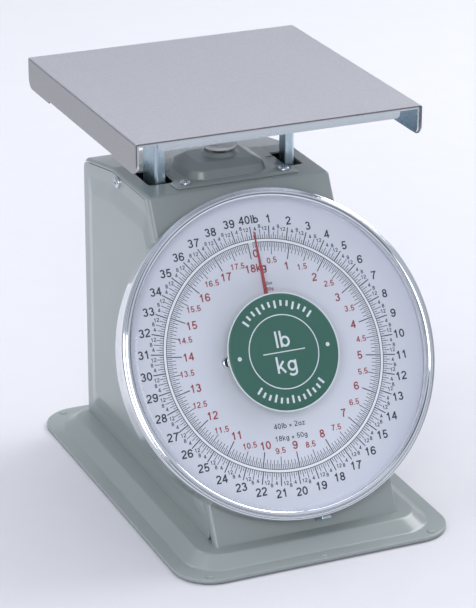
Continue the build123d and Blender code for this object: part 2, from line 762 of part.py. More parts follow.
with BuildPart() as upper_spring_plugs:
    for x in plug_x:
        with BuildSketch(Plane.XY.offset(hanger_low_z)):
            with Locations((x, spring_y)):
                Circle(plug_r)
        extrude(amount=-11)
        with BuildSketch(Plane.XY.offset(hanger_low_z)):
            with Locations((x, spring_y)):
                Circle(screw_r)
        extrude(amount=hanger_sheet + 1)
finish(upper_spring_plugs, "upper_spring_plugs")

zero_screw_r = 2.5
with BuildPart() as spring_hanger:
    with BuildSketch(Plane.XY.offset(hanger_low_z)):
        with Locations((zero_x, spring_y)):
            SlotOverall(54, 18)
        with Locations((zero_x, zero_y)):
            Circle(zero_screw_r + 0.05, mode=Mode.SUBTRACT)
        with Locations(*[(x, spring_y) for x in plug_x]):
            Circle(screw_hole_r, mode=Mode.SUBTRACT)
    extrude(amount=hanger_sheet)
finish(spring_hanger, "spring_hanger")

# ---------------------------------------------------------------- zero adjustment
knob_r = 12.0
knob_low_z, knob_top_z = roof_z + 13.4, roof_z + 16.6
bridge_top_z, bridge_sheet = 202.0, 2.0

with BuildPart() as zero_knob:
    with BuildSketch(Plane.XY.offset(knob_low_z)):
        with Locations((zero_x, zero_y)):
            Circle(knob_r - 1.0)
    with BuildSketch(Plane.XY.offset(knob_top_z)):
        with Locations((zero_x, zero_y)):
            Circle(knob_r)
    loft()
    fillet(zero_knob.edges().group_by(Axis.Z)[-1], 0.8)
    with BuildSketch(Plane.XY.offset(knob_low_z)):
        with Locations((zero_x, zero_y)):
            Circle(4.2)
    extrude(amount=-4)
    with BuildSketch(Plane.XY.offset(knob_top_z)):
        with Locations((zero_x, zero_y)):
            Circle(knob_r - 2.2)
    extrude(amount=-0.8, mode=Mode.SUBTRACT)
    with BuildSketch(Plane.XY.offset(knob_low_z - 4)):
        with Locations((zero_x, zero_y)):
            Circle(zero_screw_r + 0.02)
    extrude(amount=5.4, mode=Mode.SUBTRACT)
finish(zero_knob, "zero_knob")

with BuildPart() as zero_screw:
    with BuildSketch(Plane.XY.offset(hanger_low_z - 4)):
        with Locations((zero_x, zero_y)):
            Circle(zero_screw_r)
    extrude(amount=knob_low_z + 1.3 - hanger_low_z + 4)
    with BuildSketch(Plane.XY.offset(bridge_top_z + 0.05)):
        with Locations((zero_x, zero_y)):
            Circle(5)
    extrude(amount=2)
    chamfer(zero_screw.edges().group_by(Axis.Z)[0], 0.6)
finish(zero_screw, "zero_screw")

# ---------------------------------------------------------------- chassis
bush_r, link_shaft_r = 4.0, 2.5
shaft_gap = 0.05

with BuildPart() as chassis:
    chassis_height = bridge_top_z - bridge_sheet - plateau_z
    with BuildSketch(Plane.XY.offset(plateau_z)):
        with Locations((0, chassis_back_y)):
            Rectangle(2 * chassis_half, chassis_sheet, align=(Align.CENTER, Align.MAX))
        for side in (-1, 1):
            with Locations((side * (chassis_half - chassis_sheet / 2), chassis_front_y)):
                Rectangle(chassis_sheet, chassis_back_y - chassis_front_y, align=(Align.CENTER, Align.MIN))
    extrude(amount=chassis_height)
    # foot flanges outward, seat flanges for the bridge inward
    for side in (-1, 1):
        with Locations((side * (chassis_half + chassis_foot / 2 - 0.1), chassis_front_y, plateau_z)):
            Box(chassis_foot + 0.2, 50, chassis_sheet, align=(Align.CENTER, Align.MIN, Align.MIN))
        with Locations((side * (chassis_half - 6), chassis_front_y, plateau_z + chassis_height)):
            Box(12, 50, chassis_sheet, align=(Align.CENTER, Align.MIN, Align.MAX))
    with BuildSketch(Plane.YZ.offset(-chassis_half - 1)):
        with Locations((link_rear_y, upper_link_z), (link_rear_y, lower_link_z)):
            Circle(bush_r + 0.02)
        with Locations((82, 110)):
            RectangleRounded(26, 70, 6)
    extrude(amount=2 * chassis_half + 2, mode=Mode.SUBTRACT)
    with BuildSketch(Plane.XY.offset(plateau_z + 3)):
        for side in (-1, 1):
            with Locations(*[(side * (chassis_half + 6), y) for y in foot_screw_y]):
                Circle(screw_hole_r)
    extrude(amount=-4, mode=Mode.SUBTRACT)
    with BuildSketch(Plane.XY.offset(bridge_top_z)):
        for side in (-1, 1):
            with Locations(*[(side * (chassis_half - 7), y) for y in foot_screw_y]):
                Circle(screw_hole_r)
    extrude(amount=-5, mode=Mode.SUBTRACT)
finish(chassis, "chassis")

with BuildPart() as top_bridge:
    with BuildSketch(Plane.XY.offset(bridge_top_z - bridge_sheet)):
        with Locations((0, 16)):
            Rectangle(2 * chassis_half, chassis_back_y - 16, align=(Align.CENTER, Align.MIN))
        fillet(vertices().group_by(Axis.Y)[0], 8)
        with Locations((zero_x, zero_y)):
            Circle(zero_screw_r + 0.05, mode=Mode.SUBTRACT)
        for side in (-1, 1):
            with Locations(*[(side * (chassis_half - 7), y) for y in foot_screw_y]):
                Circle(screw_hole_r, mode=Mode.SUBTRACT)
    extrude(amount=bridge_sheet)
    for side in (-1, 1):
        with Locations((side * (chassis_half - 0.8), 26, bridge_top_z - bridge_sheet)):
            Box(1.6, 33.8, 8, align=(Align.CENTER, Align.MIN, Align.MAX))
finish(top_bridge, "top_bridge")

with BuildPart() as chassis_screws:
    for side in (-1, 1):
        for y in foot_screw_y:
            with Locations((side * (chassis_half + 6), y, plateau_z + chassis_sheet)):
                add(pan_screw.part)
            with Locations((side * (chassis_half - 7), y, bridge_top_z)):
                add(pan_screw.part)
finish(chassis_screws, "chassis_screws")

with BuildPart() as link_bushes:
    for side in (-1, 1):
        for z in (upper_link_z, lower_link_z):
            inward = Plane(
                origin=(side * (chassis_half + 1.0), link_rear_y, z), x_dir=(0, 1, 0), z_dir=(-side, 0, 0)
            )
            with BuildSketch(inward):
                Circle(bush_r)
                Circle(link_shaft_r + shaft_gap, mode=Mode.SUBTRACT)
            extrude(amount=5)
finish(link_bushes, "link_bushes")

# ---------------------------------------------------------------- parallel links
slot_play = 1.2


def build_link(pivot_z, arms_name, shaft_name):
    """Two arms on one cross shaft, tilted up towards the posts when the platform is empty."""
    middle = ((link_rear_y + link_pin_y) / 2, pivot_z + link_rise / 2)
    with BuildPart() as arms:
        for x in (-link_arm_x - link_sheet, link_arm_x):
            with BuildSketch(Plane.YZ.offset(x)):
                with Locations(middle):
                    SlotCenterToCenter(link_length, 10, rotation=-link_angle)
                with Locations((link_rear_y, pivot_z)):
                    Circle(link_shaft_r + 0.02, mode=Mode.SUBTRACT)
                with Locations((link_pin_y, pivot_z + link_rise)):
                    SlotCenterToCenter(
                        2 * slot_play, 2 * pin_r + 0.3, rotation=-link_angle, mode=Mode.SUBTRACT
                    )
            extrude(amount=link_sheet)
    finish(arms, arms_name)
    with BuildPart() as shaft:
        shaft_half = link_arm_x + link_sheet + 1.5
        with BuildSketch(Plane.YZ.offset(-shaft_half)):
            with Locations((link_rear_y, pivot_z)):
                Circle(link_shaft_r)
        extrude(amount=2 * shaft_half)
        chamfer(shaft.edges().sort_by(Axis.X)[0], 0.4)
        chamfer(shaft.edges().sort_by(Axis.X)[-1], 0.4)
    finish(shaft, shaft_name)


build_link(upper_link_z, "upper_link_arms", "upper_link_shaft")
build_link(lower_link_z, "lower_link_arms", "lower_link_shaft")

# ---------------------------------------------------------------- damper and overload stops
cylinder_r, cylinder_bore_r = 11.0, 9.5
cylinder_top_z = 54.0
rod_r = 1.8
rod_y = zero_y - 2

with BuildPart() as damper_cylinder:
    with BuildSketch(Plane.XY.offset(plateau_z)):
        with Locations((rod_x, rod_y)):
            Circle(cylinder_r)
    extrude(amount=cylinder_top_z - plateau_z)
    with BuildSketch(Plane.XY.offset(plateau_z + 2)):
        with Locations((rod_x, rod_y)):
            Circle(cylinder_bore_r)
    extrude(amount=cylinder_top_z, mode=Mode.SUBTRACT)
finish(damper_cylinder, "damper_cylinder")

with BuildPart() as damper_cap:
    with BuildSketch(Plane.XY.offset(cylinder_top_z)):
        with Locations((rod_x, rod_y)):
            Circle(cylinder_r)
            Circle(rod_r + 0.08, mode=Mode.SUBTRACT)
    extrude(amount=2)
finish(damper_cap, "damper_cap")

with BuildPart() as damper_piston:
    with BuildSketch(Plane.XY.offset(37)):
        with Locations((rod_x, rod_y)):
            Circle(cylinder_bore_r - 0.1)
    extrude(amount=4)
    with BuildSketch(Plane.XY.offset(37)):
        with Locations((rod_x, rod_y)):
            Circle(rod_r)
    extrude(amount=bar_top_z + 2 - 37)
finish(damper_piston, "damper_piston")

with BuildPart() as overload_stops:
    stop_top_z = post_bottom_z - full_travel - 0.3
    for side in (-1, 1):
        with BuildSketch(Plane.XY.offset(plateau_z)):
            with Locations((side * 47, 33.5)):
                Circle(6)
        extrude(amount=stop_top_z - plateau_z)
    fillet(overload_stops.edges().group_by(Axis.Z)[-1], 1)
finish(overload_stops, "overload_stops")

# ---------------------------------------------------------------- rack and pinion movement
plate_half_width, plate_half_height = 42.0, 20.0
movement_sheet = 1.6
front_plate_h, back_plate_h = -3.0, -30.0     # front faces of the two plates
shaft_r = 1.5
bush_outer_r = 4.0
pillar_spots = GridLocations(74, 30, 2, 2)
tooth_pitch = pi * gear_module
tip_r = pitch_r + 0.8 * gear_module
root_r = pitch_r - 1.125 * gear_module
rack_back_x = pitch_r + 4.5
roller_r = 3.5

with BuildPart() as movement_front_plate:
    with BuildSketch(dial_plane.offset(front_plate_h)):
        RectangleRounded(2 * plate_half_width, 2 * plate_half_height, 4)
        Circle(bush_outer_r + 0.02, mode=Mode.SUBTRACT)
        with Locations((-dial_screw_x, 0), (dial_screw_x, 0)):
            Circle(screw_hole_r, mode=Mode.SUBTRACT)
        with pillar_spots:
            Circle(1.6, mode=Mode.SUBTRACT)
    extrude(amount=movement_sheet)
finish(movement_front_plate, "movement_front_plate")

with BuildPart() as movement_back_plate:
    with BuildSketch(dial_plane.offset(back_plate_h)):
        RectangleRounded(2 * plate_half_width, 2 * plate_half_height, 4)
        Circle(bush_outer_r + 0.02, mode=Mode.SUBTRACT)
        with pillar_spots:
            Circle(1.6, mode=Mode.SUBTRACT)
    extrude(amount=-movement_sheet)
finish(movement_back_plate, "movement_back_plate")

with BuildPart() as movement_pillars:
    with BuildSketch(dial_plane.offset(back_plate_h)):
        with pillar_spots:
            Circle(3)
    extrude(amount=front_plate_h - back_plate_h)
    with BuildSketch(dial_plane.offset(back_plate_h - movement_sheet)):
        with pillar_spots:
            Circle(1.5)
    extrude(amount=front_plate_h - back_plate_h + 2 * movement_sheet)
finish(movement_pillars, "movement_pillars")

with BuildPart() as shaft_bushes:
    for start_h in (front_plate_h - 1.5, back_plate_h - movement_sheet):
        with BuildSketch(dial_plane.offset(start_h)):
            Circle(bush_outer_r)
            Circle(shaft_r + 0.04, mode=Mode.SUBTRACT)
        extrude(amount=3.1)
finish(shaft_bushes, "shaft_bushes")

with BuildPart() as pointer_shaft:
    with BuildSketch(dial_plane.offset(back_plate_h - 2.6)):
        Circle(shaft_r)
    extrude(amount=12.0 - back_plate_h + 2.6)
    chamfer(pointer_shaft.edges().filter_by(GeomType.CIRCLE), 0.3)
finish(pointer_shaft, "pointer_shaft")


def involute(angle):
    return tan(angle) - angle


base_r = pitch_r * cos(pressure_angle)
half_tooth = pi / (2 * pinion_teeth) - backlash / (2 * pitch_r)
flank = [(root_r * 0.97, half_tooth + involute(pressure_angle))]
for step in range(5):
    radius = base_r + (tip_r - base_r) * step / 4
    flank.append((radius, half_tooth + involute(pressure_angle) - involute(acos(min(1, base_r / radius)))))
tooth_points = [(r * cos(a), r * sin(a)) for r, a in flank]
tooth_points += [(x, -y) for x, y in reversed(tooth_points)]

with BuildSketch() as gear_tooth:
    with BuildLine():
        Polyline(*tooth_points, close=True)
    make_face()

with BuildPart() as pinion:
    with BuildSketch(dial_plane.offset(rack_h - 2)):
        Circle(root_r)
        with PolarLocations(0, pinion_teeth):
            add(gear_tooth.sketch)
        Circle(shaft_r + 0.02, mode=Mode.SUBTRACT)
    extrude(amount=4)
finish(pinion, "pinion")

with BuildPart() as shaft_collar:
    with BuildSketch(dial_plane.offset(rack_h + 3)):
        Circle(4)
        Circle(shaft_r + 0.02, mode=Mode.SUBTRACT)
    extrude(amount=4)
finish(shaft_collar, "shaft_collar")

rack_low_v, rack_high_v = -3.0, rack_pin_v + 4
rack_root_x = pitch_r + 1.125 * gear_module
rack_tip_x = pitch_r - 0.8 * gear_module
with BuildSketch() as rack_tooth:
    with BuildLine():
        tip_half = tooth_pitch / 4 - backlash / 2 - 0.8 * gear_module * tan(pressure_angle)
        foot_half = tooth_pitch / 4 - backlash / 2 + 1.125 * gear_module * tan(pressure_angle)
        Polyline(
            (rack_tip_x, -tip_half),
            (rack_tip_x, tip_half),
            (rack_root_x + 0.1, foot_half),
            (rack_root_x + 0.1, -foot_half),
            close=True,
        )
    make_face()

with BuildPart() as rack:
    with BuildSketch(dial_plane.offset(rack_h - rack_thickness / 2)):
        with Locations((rack_root_x, rack_low_v)):
            Rectangle(rack_back_x - rack_root_x, rack_high_v - rack_low_v, align=(Align.MIN, Align.MIN))
        with Locations(*[(0, (k + 0.5) * tooth_pitch) for k in range(-2, 17)]):
            add(rack_tooth.sketch)
    extrude(amount=rack_thickness)
    pin_plane = Plane(origin=on_dial(0, rack_pin_v, rack_h), x_dir=dial_plane.y_dir, z_dir=(1, 0, 0))
    with BuildSketch(pin_plane):
        Circle(1.02)
    extrude(amount=rack_back_x + 2, mode=Mode.SUBTRACT)
finish(rack, "rack")

with BuildPart() as rack_pin:
    with BuildSketch(pin_plane.offset(rack_root_x)):
        Circle(1.0)
    extrude(amount=arm_x + arm_sheet + 1.6 - rack_root_x)
    with BuildSketch(pin_plane.offset(arm_x + arm_sheet + 0.2)):
        Circle(2.4)
    extrude(amount=1.4)
finish(rack_pin, "rack_pin")

slot_travel = full_travel * sin(tilt)
with BuildPart() as rack_arm:
    slot_rear = on_dial(0, rack_pin_v, rack_h)
    slot_front = on_dial(0, rack_pin_v, rack_h + slot_travel)
    slot_middle = ((slot_rear.Y + slot_front.Y) / 2, (slot_rear.Z + slot_front.Z) / 2)
    with BuildSketch(Plane.YZ.offset(arm_x)):
        with BuildLine():
            Polyline(
                (bar_back_y, 128.0),
                (bar_back_y, bar_top_z - bar_sheet),
                (24.0, bar_top_z - bar_sheet),
                (slot_rear.Y + 6, slot_rear.Z + 4),
                (slot_rear.Y - 4, slot_rear.Z + 9),
                (slot_front.Y - 1, slot_front.Z + 5),
                (slot_front.Y - 2, slot_front.Z - 5),
                (slot_rear.Y - 3, slot_rear.Z - 7),
                (12.0, 128.0),
                close=True,
            )
        make_face()
        with Locations(slot_middle):
            SlotCenterToCenter(
                slot_travel + 0.6, 2.3, rotation=180 - degrees(tilt), mode=Mode.SUBTRACT
            )
    extrude(amount=arm_sheet)
    with Locations((arm_x, bar_front_y + 0.5, bar_top_z - bar_sheet)):
        Box(12, bar_back_y - bar_front_y - 0.5, arm_sheet, align=(Align.MIN, Align.MIN, Align.MAX))
    with BuildSketch(Plane.XY.offset(bar_top_z)):
        with Locations(arm_screw):
            Circle(screw_hole_r)
        with Locations((plug_x[1], spring_y)):
            Circle(screw_r + 1.2)
    extrude(amount=-6, mode=Mode.SUBTRACT)
finish(rack_arm, "rack_arm")

with BuildPart() as rack_roller:
    with BuildSketch(dial_plane.offset(rack_h - 2)):
        with Locations((rack_back_x + roller_r + 0.03, 0)):
            Circle(roller_r)
            Circle(1.05, mode=Mode.SUBTRACT)
    extrude(amount=4)
finish(rack_roller, "rack_roller")

with BuildPart() as roller_pin:
    with BuildSketch(dial_plane.offset(back_plate_h + 0.02)):
        with Locations((rack_back_x + roller_r + 0.03, 0)):
            Circle(1.0)
    extrude(amount=front_plate_h - back_plate_h - 0.04)
finish(roller_pin, "roller_pin")

# ---------------------------------------------------------------- pointer
pointer_h, pointer_sheet = 8.0, 0.6
pointer_tip_v, pointer_tail_v = 82.4, -22.0
with BuildPart() as pointer:
    with BuildSketch(dial_plane.offset(pointer_h)):
        with BuildLine():
            Polyline(
                (-0.35, pointer_tip_v),
                (0.35, pointer_tip_v),
                (2.0, 10),
                (2.0, -6),
                (3.4, pointer_tail_v),
                (-3.4, pointer_tail_v),
                (-2.0, -6),
                (-2.0, 10),
                close=True,
            )
        make_face()
        Circle(6)
        Circle(shaft_r + 0.02, mode=Mode.SUBTRACT)
    extrude(amount=pointer_sheet)
finish(pointer, "pointer")

with BuildPart() as pointer_hub:
    with BuildSketch(dial_plane.offset(pointer_h - 3.4)):
        Circle(3.2)
    extrude(amount=3.4)
    with BuildSketch(dial_plane.offset(pointer_h + pointer_sheet)):
        Circle(3.6)
    extrude(amount=2.2)
    with BuildSketch(dial_plane.offset(pointer_h - 4)):
        Circle(shaft_r + 0.02)
    extrude(amount=8, mode=Mode.SUBTRACT)
finish(pointer_hub, "pointer_hub")
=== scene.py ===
import bisect
import json
import math

import bmesh
import bpy
from mathutils import Matrix, Vector


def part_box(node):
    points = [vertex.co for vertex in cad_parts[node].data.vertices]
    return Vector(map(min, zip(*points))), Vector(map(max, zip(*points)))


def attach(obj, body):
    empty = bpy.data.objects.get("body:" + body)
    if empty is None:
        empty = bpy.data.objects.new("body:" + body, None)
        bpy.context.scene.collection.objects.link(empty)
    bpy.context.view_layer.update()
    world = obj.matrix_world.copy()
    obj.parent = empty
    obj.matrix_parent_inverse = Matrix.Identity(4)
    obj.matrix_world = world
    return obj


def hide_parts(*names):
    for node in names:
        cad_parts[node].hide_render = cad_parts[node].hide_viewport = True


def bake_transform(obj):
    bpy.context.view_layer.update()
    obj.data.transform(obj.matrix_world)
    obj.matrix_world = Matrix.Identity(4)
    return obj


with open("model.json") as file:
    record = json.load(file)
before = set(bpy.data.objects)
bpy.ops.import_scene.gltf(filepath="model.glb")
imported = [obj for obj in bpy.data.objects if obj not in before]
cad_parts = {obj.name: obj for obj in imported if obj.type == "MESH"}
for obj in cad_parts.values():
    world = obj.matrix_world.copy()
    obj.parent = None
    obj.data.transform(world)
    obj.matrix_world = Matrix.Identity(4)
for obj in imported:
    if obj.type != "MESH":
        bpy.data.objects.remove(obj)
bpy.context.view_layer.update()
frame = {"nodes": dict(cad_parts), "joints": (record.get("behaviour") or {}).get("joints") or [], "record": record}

MM = 0.001
nodes = frame["nodes"]
joints = {joint["name"]: joint for joint in frame["joints"]}

# ------------------------------------------------------------------ the dial's own frame
# Local x to the right, local y up the dial, local z out towards the reader.
pointer_joint = joints["pointer_turn"]
dial_origin = Vector(pointer_joint["pos_m"])
dial_out = -Vector(pointer_joint["axis"]).normalized()
dial_right = Vector((1, 0, 0))
dial_up = dial_out.cross(dial_right)
tilt = math.asin(dial_out.z)
dial_matrix = Matrix.Translation(dial_origin) @ Matrix((dial_right, dial_up, dial_out)).transposed().to_4x4()


def on_dial(x, y, h):
    """Point in space from dial coordinates in millimetres."""
    return dial_matrix @ (Vector((x, y, h)) * MM)


# ------------------------------------------------------------------ materials
def new_material(name):
    material = bpy.data.materials.new(name)
    material.use_nodes = True
    tree = material.node_tree
    return material, tree, tree.nodes["Principled BSDF"]


def noise(tree, scale, detail, stretch=(1, 1, 1)):
    """Noise in the object's own space, in cycles per metre, stretched to make grain."""
    coordinates = tree.nodes.new("ShaderNodeTexCoord")
    mapping = tree.nodes.new("ShaderNodeMapping")
    mapping.inputs["Scale"].default_value = stretch
    texture = tree.nodes.new("ShaderNodeTexNoise")
    texture.inputs["Scale"].default_value = scale
    texture.inputs["Detail"].default_value = detail
    tree.links.new(coordinates.outputs["Object"], mapping.inputs["Vector"])
    tree.links.new(mapping.outputs["Vector"], texture.inputs["Vector"])
    return texture.outputs["Fac"]


def spread(tree, value, low, high, source=(0.3, 0.7)):
    """Maps the useful middle of a noise onto a range."""
    node = tree.nodes.new("ShaderNodeMapRange")
    node.inputs["From Min"].default_value = source[0]
    node.inputs["From Max"].default_value = source[1]
    node.inputs["To Min"].default_value = low
    node.inputs["To Max"].default_value = high
    tree.links.new(value, node.inputs["Value"])
    return node.outputs["Result"]


def tint(tree, value, colour_a, colour_b):
    """Mixes two colours by a value from 0 to 1."""
    node = tree.nodes.new("ShaderNodeMix")
    node.data_type = "RGBA"
    node.inputs["A"].default_value = (*colour_a, 1)
    node.inputs["B"].default_value = (*colour_b, 1)
    tree.links.new(value, node.inputs["Factor"])
    return node.outputs["Result"]


def mix_colour(tree, value, colour_socket, colour_b, blend="MIX"):
    """Mixes a linked colour with a fixed one by a value from 0 to 1."""
    node = tree.nodes.new("ShaderNodeMix")
    node.data_type = "RGBA"
    node.blend_type = blend
    node.inputs["B"].default_value = (*colour_b, 1)
    tree.links.new(colour_socket, node.inputs["A"])
    tree.links.new(value, node.inputs["Factor"])
    return node.outputs["Result"]


def multiply(tree, value_a, value_b):
    node = tree.nodes.new("ShaderNodeMath")
    node.operation = "MULTIPLY"
    tree.links.new(value_a, node.inputs[0])
    tree.links.new(value_b, node.inputs[1])
    return node.outputs[0]


def bump(tree, shader, height, distance):
    node = tree.nodes.new("ShaderNodeBump")
    node.inputs["Distance"].default_value = distance
    tree.links.new(height, node.inputs["Height"])
    tree.links.new(node.outputs["Normal"], shader.inputs["Normal"])


def facing(tree, axis, low, high):
    """Near 1 on faces square to the given axis, 0 elsewhere."""
    geometry = tree.nodes.new("ShaderNodeNewGeometry")
    split = tree.nodes.new("ShaderNodeSeparateXYZ")
    tree.links.new(geometry.outputs["Normal"], split.inputs["Vector"])
    size = tree.nodes.new("ShaderNodeMath")
    size.operation = "ABSOLUTE"
    tree.links.new(split.outputs[axis], size.inputs[0])
    return spread(tree, size.outputs[0], 0, 1, (low, high))


def scaled(colour, factor):
    return tuple(channel * factor for channel in colour)


def edge_wear(tree):
    """Near 1 on outer edges, 0 elsewhere."""
    geometry = tree.nodes.new("ShaderNodeNewGeometry")
    return spread(tree, geometry.outputs["Pointiness"], 0, 1, (0.52, 0.60))


def surface(
    name,
    colour,
    roughness,
    mottle,
    grain,
    relief,
    metallic=0.0,
    coat=0.0,
    wear=None,
    shaded=(),
):
    """A finish with colour drift, roughness grain, fine relief and optional edge wear.

    mottle is (scale, amount), grain (scale, stretch, amount) and relief (scale, distance in metres).
    shaded lists (axis, low, high, colour): faces square to that axis are multiplied by the colour, a painted shade
    for faces that get less light.
    """
    material, tree, shader = new_material(name)
    mottle_scale, mottle_amount = mottle
    grain_scale, stretch, grain_amount = grain
    relief_scale, relief_distance = relief
    drift = spread(tree, noise(tree, mottle_scale, 4.0), 0, 1)
    dark = scaled(colour, 1 - mottle_amount)
    light = scaled(colour, 1 + mottle_amount)
    base = tint(tree, drift, dark, light)
    if wear:
        base = mix_colour(tree, edge_wear(tree), base, wear)
    # painted shade: faces square to each given axis are darkened by a fixed colour
    for axis, low, high, shade in shaded:
        base = mix_colour(tree, facing(tree, axis, low, high), base, shade, "MULTIPLY")
    tree.links.new(base, shader.inputs["Base Color"])
    rough = spread(
        tree,
        noise(tree, grain_scale, 3.0, stretch),
        max(0.02, roughness - grain_amount),
        roughness + grain_amount,
    )
    tree.links.new(rough, shader.inputs["Roughness"])
    shader.inputs["Metallic"].default_value = metallic
    shader.inputs["Coat Weight"].default_value = coat
    shader.inputs["Coat Roughness"].default_value = 0.12
    bump(tree, shader, noise(tree, relief_scale, 2.0, stretch), relief_distance)
    return material


ENAMEL = (0.300, 0.338, 0.335)
enamel = surface(
    "grey_green_enamel",
    ENAMEL,
    0.30,
    mottle=(18, 0.015),
    grain=(40, (1, 1, 1), 0.02),
    relief=(90, 0.000002),
    coat=0.4,
)
stainless = surface(
    "satin_stainless",
    (0.665, 0.665, 0.70),
    0.40,
    metallic=1.0,
    mottle=(520, 0.045),
    grain=(1500, (0.3, 1, 1), 0.05),
    relief=(2600, 0.0000006),
    # painted shade: the side flanges (faces square to X) and the faces square to Y, such as the front hem,
    # darkened by a fixed colour
    shaded=(("X", 0.75, 0.97, (0.63, 0.62, 0.60)), ("Y", 0.9, 0.99, (0.42, 0.37, 0.35))),
)
zinc = surface(
    "bluish_zinc_plate",
    (0.27, 0.39, 0.47),
    0.28,
    metallic=0.9,
    mottle=(45, 0.08),
    grain=(240, (1, 1, 0.2), 0.06),
    relief=(500, 0.0000012),
    wear=(0.58, 0.70, 0.77),
    # painted shade: faces square to X darkened by a fixed colour
    shaded=(("X", 0.75, 0.97, (0.62, 0.66, 0.68)),),
)
frame_zinc = surface(
    "pale_zinc_plate",
    (0.92, 0.96, 1.0),
    0.30,
    metallic=0.9,
    mottle=(30, 0.06),
    grain=(240, (0.2, 1, 1), 0.06),
    relief=(500, 0.0000012),
    wear=(0.70, 0.76, 0.80),
    # painted shade: faces square to X darkened by a fixed colour
    shaded=(("X", 0.75, 0.97, (0.46, 0.56, 0.66)),),
)
chrome = surface(
    "bright_chrome",
    (0.80, 0.82, 0.86),
    0.06,
    metallic=1.0,
    mottle=(20, 0.02),
    grain=(120, (1, 1, 1), 0.012),
    relief=(60, 0.0000006),
)
screw_steel = surface(
    "plated_screw_steel",
    (0.68, 0.71, 0.75),
    0.20,
    metallic=1.0,
    mottle=(200, 0.06),
    grain=(900, (1, 1, 1), 0.08),
    relief=(1200, 0.0000015),
    wear=(0.85, 0.86, 0.88),
)
turned_steel = surface(
    "turned_steel",
    (0.55, 0.55, 0.56),
    0.28,
    metallic=1.0,
    mottle=(90, 0.06),
    grain=(900, (1, 1, 6), 0.08),
    relief=(1500, 0.000002),
)
spring_steel = surface(
    "oiled_spring_wire",
    (0.24, 0.25, 0.27),
    0.32,
    metallic=1.0,
    mottle=(120, 0.10),
    grain=(1200, (1, 1, 1), 0.08),
    relief=(1500, 0.000002),
)
brass = surface(
    "machined_brass",
    (0.72, 0.52, 0.22),
    0.25,
    metallic=1.0,
    mottle=(90, 0.08),
    grain=(1200, (1, 1, 1), 0.08),
    relief=(1500, 0.000002),
)
rubber = surface(
    "black_rubber",
    (0.018, 0.018, 0.020),
    0.70,
    mottle=(120, 0.2),
    grain=(500, (1, 1, 1), 0.12),
    relief=(1500, 0.00003),
)
gasket_white = surface(
    "white_gasket_rubber",
    (0.72, 0.74, 0.80),
    0.60,
    mottle=(60, 0.03),
    grain=(400, (1, 1, 1), 0.08),
    relief=(900, 0.000004),
)
pan_enamel = surface(
    "white_pan_enamel",
    (0.74, 0.76, 0.82),
    0.30,
    mottle=(20, 0.02),
    grain=(300, (1, 1, 1), 0.05),
    relief=(400, 0.000002),
)
dial_enamel = surface(
    "dial_off_white",
    (0.715, 0.74, 0.82),
    0.45,
    mottle=(14, 0.015),
    grain=(300, (1, 1, 1), 0.05),
    relief=(500, 0.0000006),
)
ring_white = surface(
    "dial_ring_white",
    (0.88, 0.91, 0.95),
    0.45,
    mottle=(14, 0.02),
    grain=(300, (1, 1, 1), 0.05),
    relief=(500, 0.0000006),
)
ink_grey = surface(
    "ink_slate",
    (0.030, 0.036, 0.055),
    0.50,
    mottle=(300, 0.25),
    grain=(600, (1, 1, 1), 0.06),
    relief=(500, 0.0000006),
)
ink_red = surface(
    "ink_red",
    (0.36, 0.045, 0.062),
    0.50,
    mottle=(300, 0.15),
    grain=(600, (1, 1, 1), 0.06),
    relief=(500, 0.0000006),
)
pointer_red = surface(
    "pointer_red_lacquer",
    (0.38, 0.045, 0.055),
    0.36,
    mottle=(60, 0.08),
    grain=(500, (1, 1, 1), 0.06),
    relief=(500, 0.000001),
    coat=0.3,
)
disc_green = surface(
    "disc_green_print",
    (0.028, 0.125, 0.092),
    0.40,
    mottle=(25, 0.04),
    grain=(400, (1, 1, 1), 0.05),
    relief=(400, 0.0000008),
)
disc_white = surface(
    "disc_white_print",
    (0.70, 0.76, 0.78),
    0.40,
    mottle=(25, 0.03),
    grain=(400, (1, 1, 1), 0.05),
    relief=(400, 0.0000008),
)
knob_plastic = surface(
    "light_grey_plastic",
    (0.90, 0.87, 0.86),
    0.45,
    mottle=(60, 0.03),
    grain=(400, (1, 1, 1), 0.05),
    relief=(500, 0.000002),
)
# painted shade: near-black teal standing for the shaded inside of the cover slots
slot_dark = surface(
    "slot_shadow",
    (0.035, 0.055, 0.055),
    0.6,
    mottle=(200, 0.2),
    grain=(600, (1, 1, 1), 0.1),
    relief=(1500, 0.000005),
)
damper_black = surface(
    "black_lacquer",
    (0.03, 0.03, 0.033),
    0.35,
    mottle=(60, 0.1),
    grain=(600, (1, 1, 1), 0.06),
    relief=(1200, 0.00001),
)


def lens_material():
    """A thin clear sheet: mostly seen through, with the sheen of its two faces."""
    material = bpy.data.materials.new("clear_lens")
    material.use_nodes = True
    tree = material.node_tree
    tree.nodes.clear()
    output = tree.nodes.new("ShaderNodeOutputMaterial")
    clear = tree.nodes.new("ShaderNodeBsdfTransparent")
    clear.inputs["Color"].default_value = (0.995, 0.997, 1.0, 1)
    gloss = tree.nodes.new("ShaderNodeBsdfGlossy")
    gloss.inputs["Color"].default_value = (0.95, 0.97, 1.0, 1)
    rough = spread(tree, noise(tree, 40, 3.0), 0.015, 0.05)
    tree.links.new(rough, gloss.inputs["Roughness"])
    fresnel = tree.nodes.new("ShaderNodeFresnel")
    fresnel.inputs["IOR"].default_value = 1.38
    geometry = tree.nodes.new("ShaderNodeNewGeometry")
    front = spread(tree, geometry.outputs["Backfacing"], 1, 0, (0, 1))
    path = tree.nodes.new("ShaderNodeLightPath")
    lit = spread(tree, path.outputs["Is Shadow Ray"], 1, 0, (0, 1))
    mix = tree.nodes.new("ShaderNodeMixShader")
    sheen = multiply(tree, multiply(tree, fresnel.outputs["Fac"], front), lit)
    tree.links.new(sheen, mix.inputs["Fac"])
    tree.links.new(clear.outputs["BSDF"], mix.inputs[1])
    tree.links.new(gloss.outputs["BSDF"], mix.inputs[2])
    tree.links.new(mix.outputs["Shader"], output.inputs["Surface"])
    return material


clear_lens = lens_material()

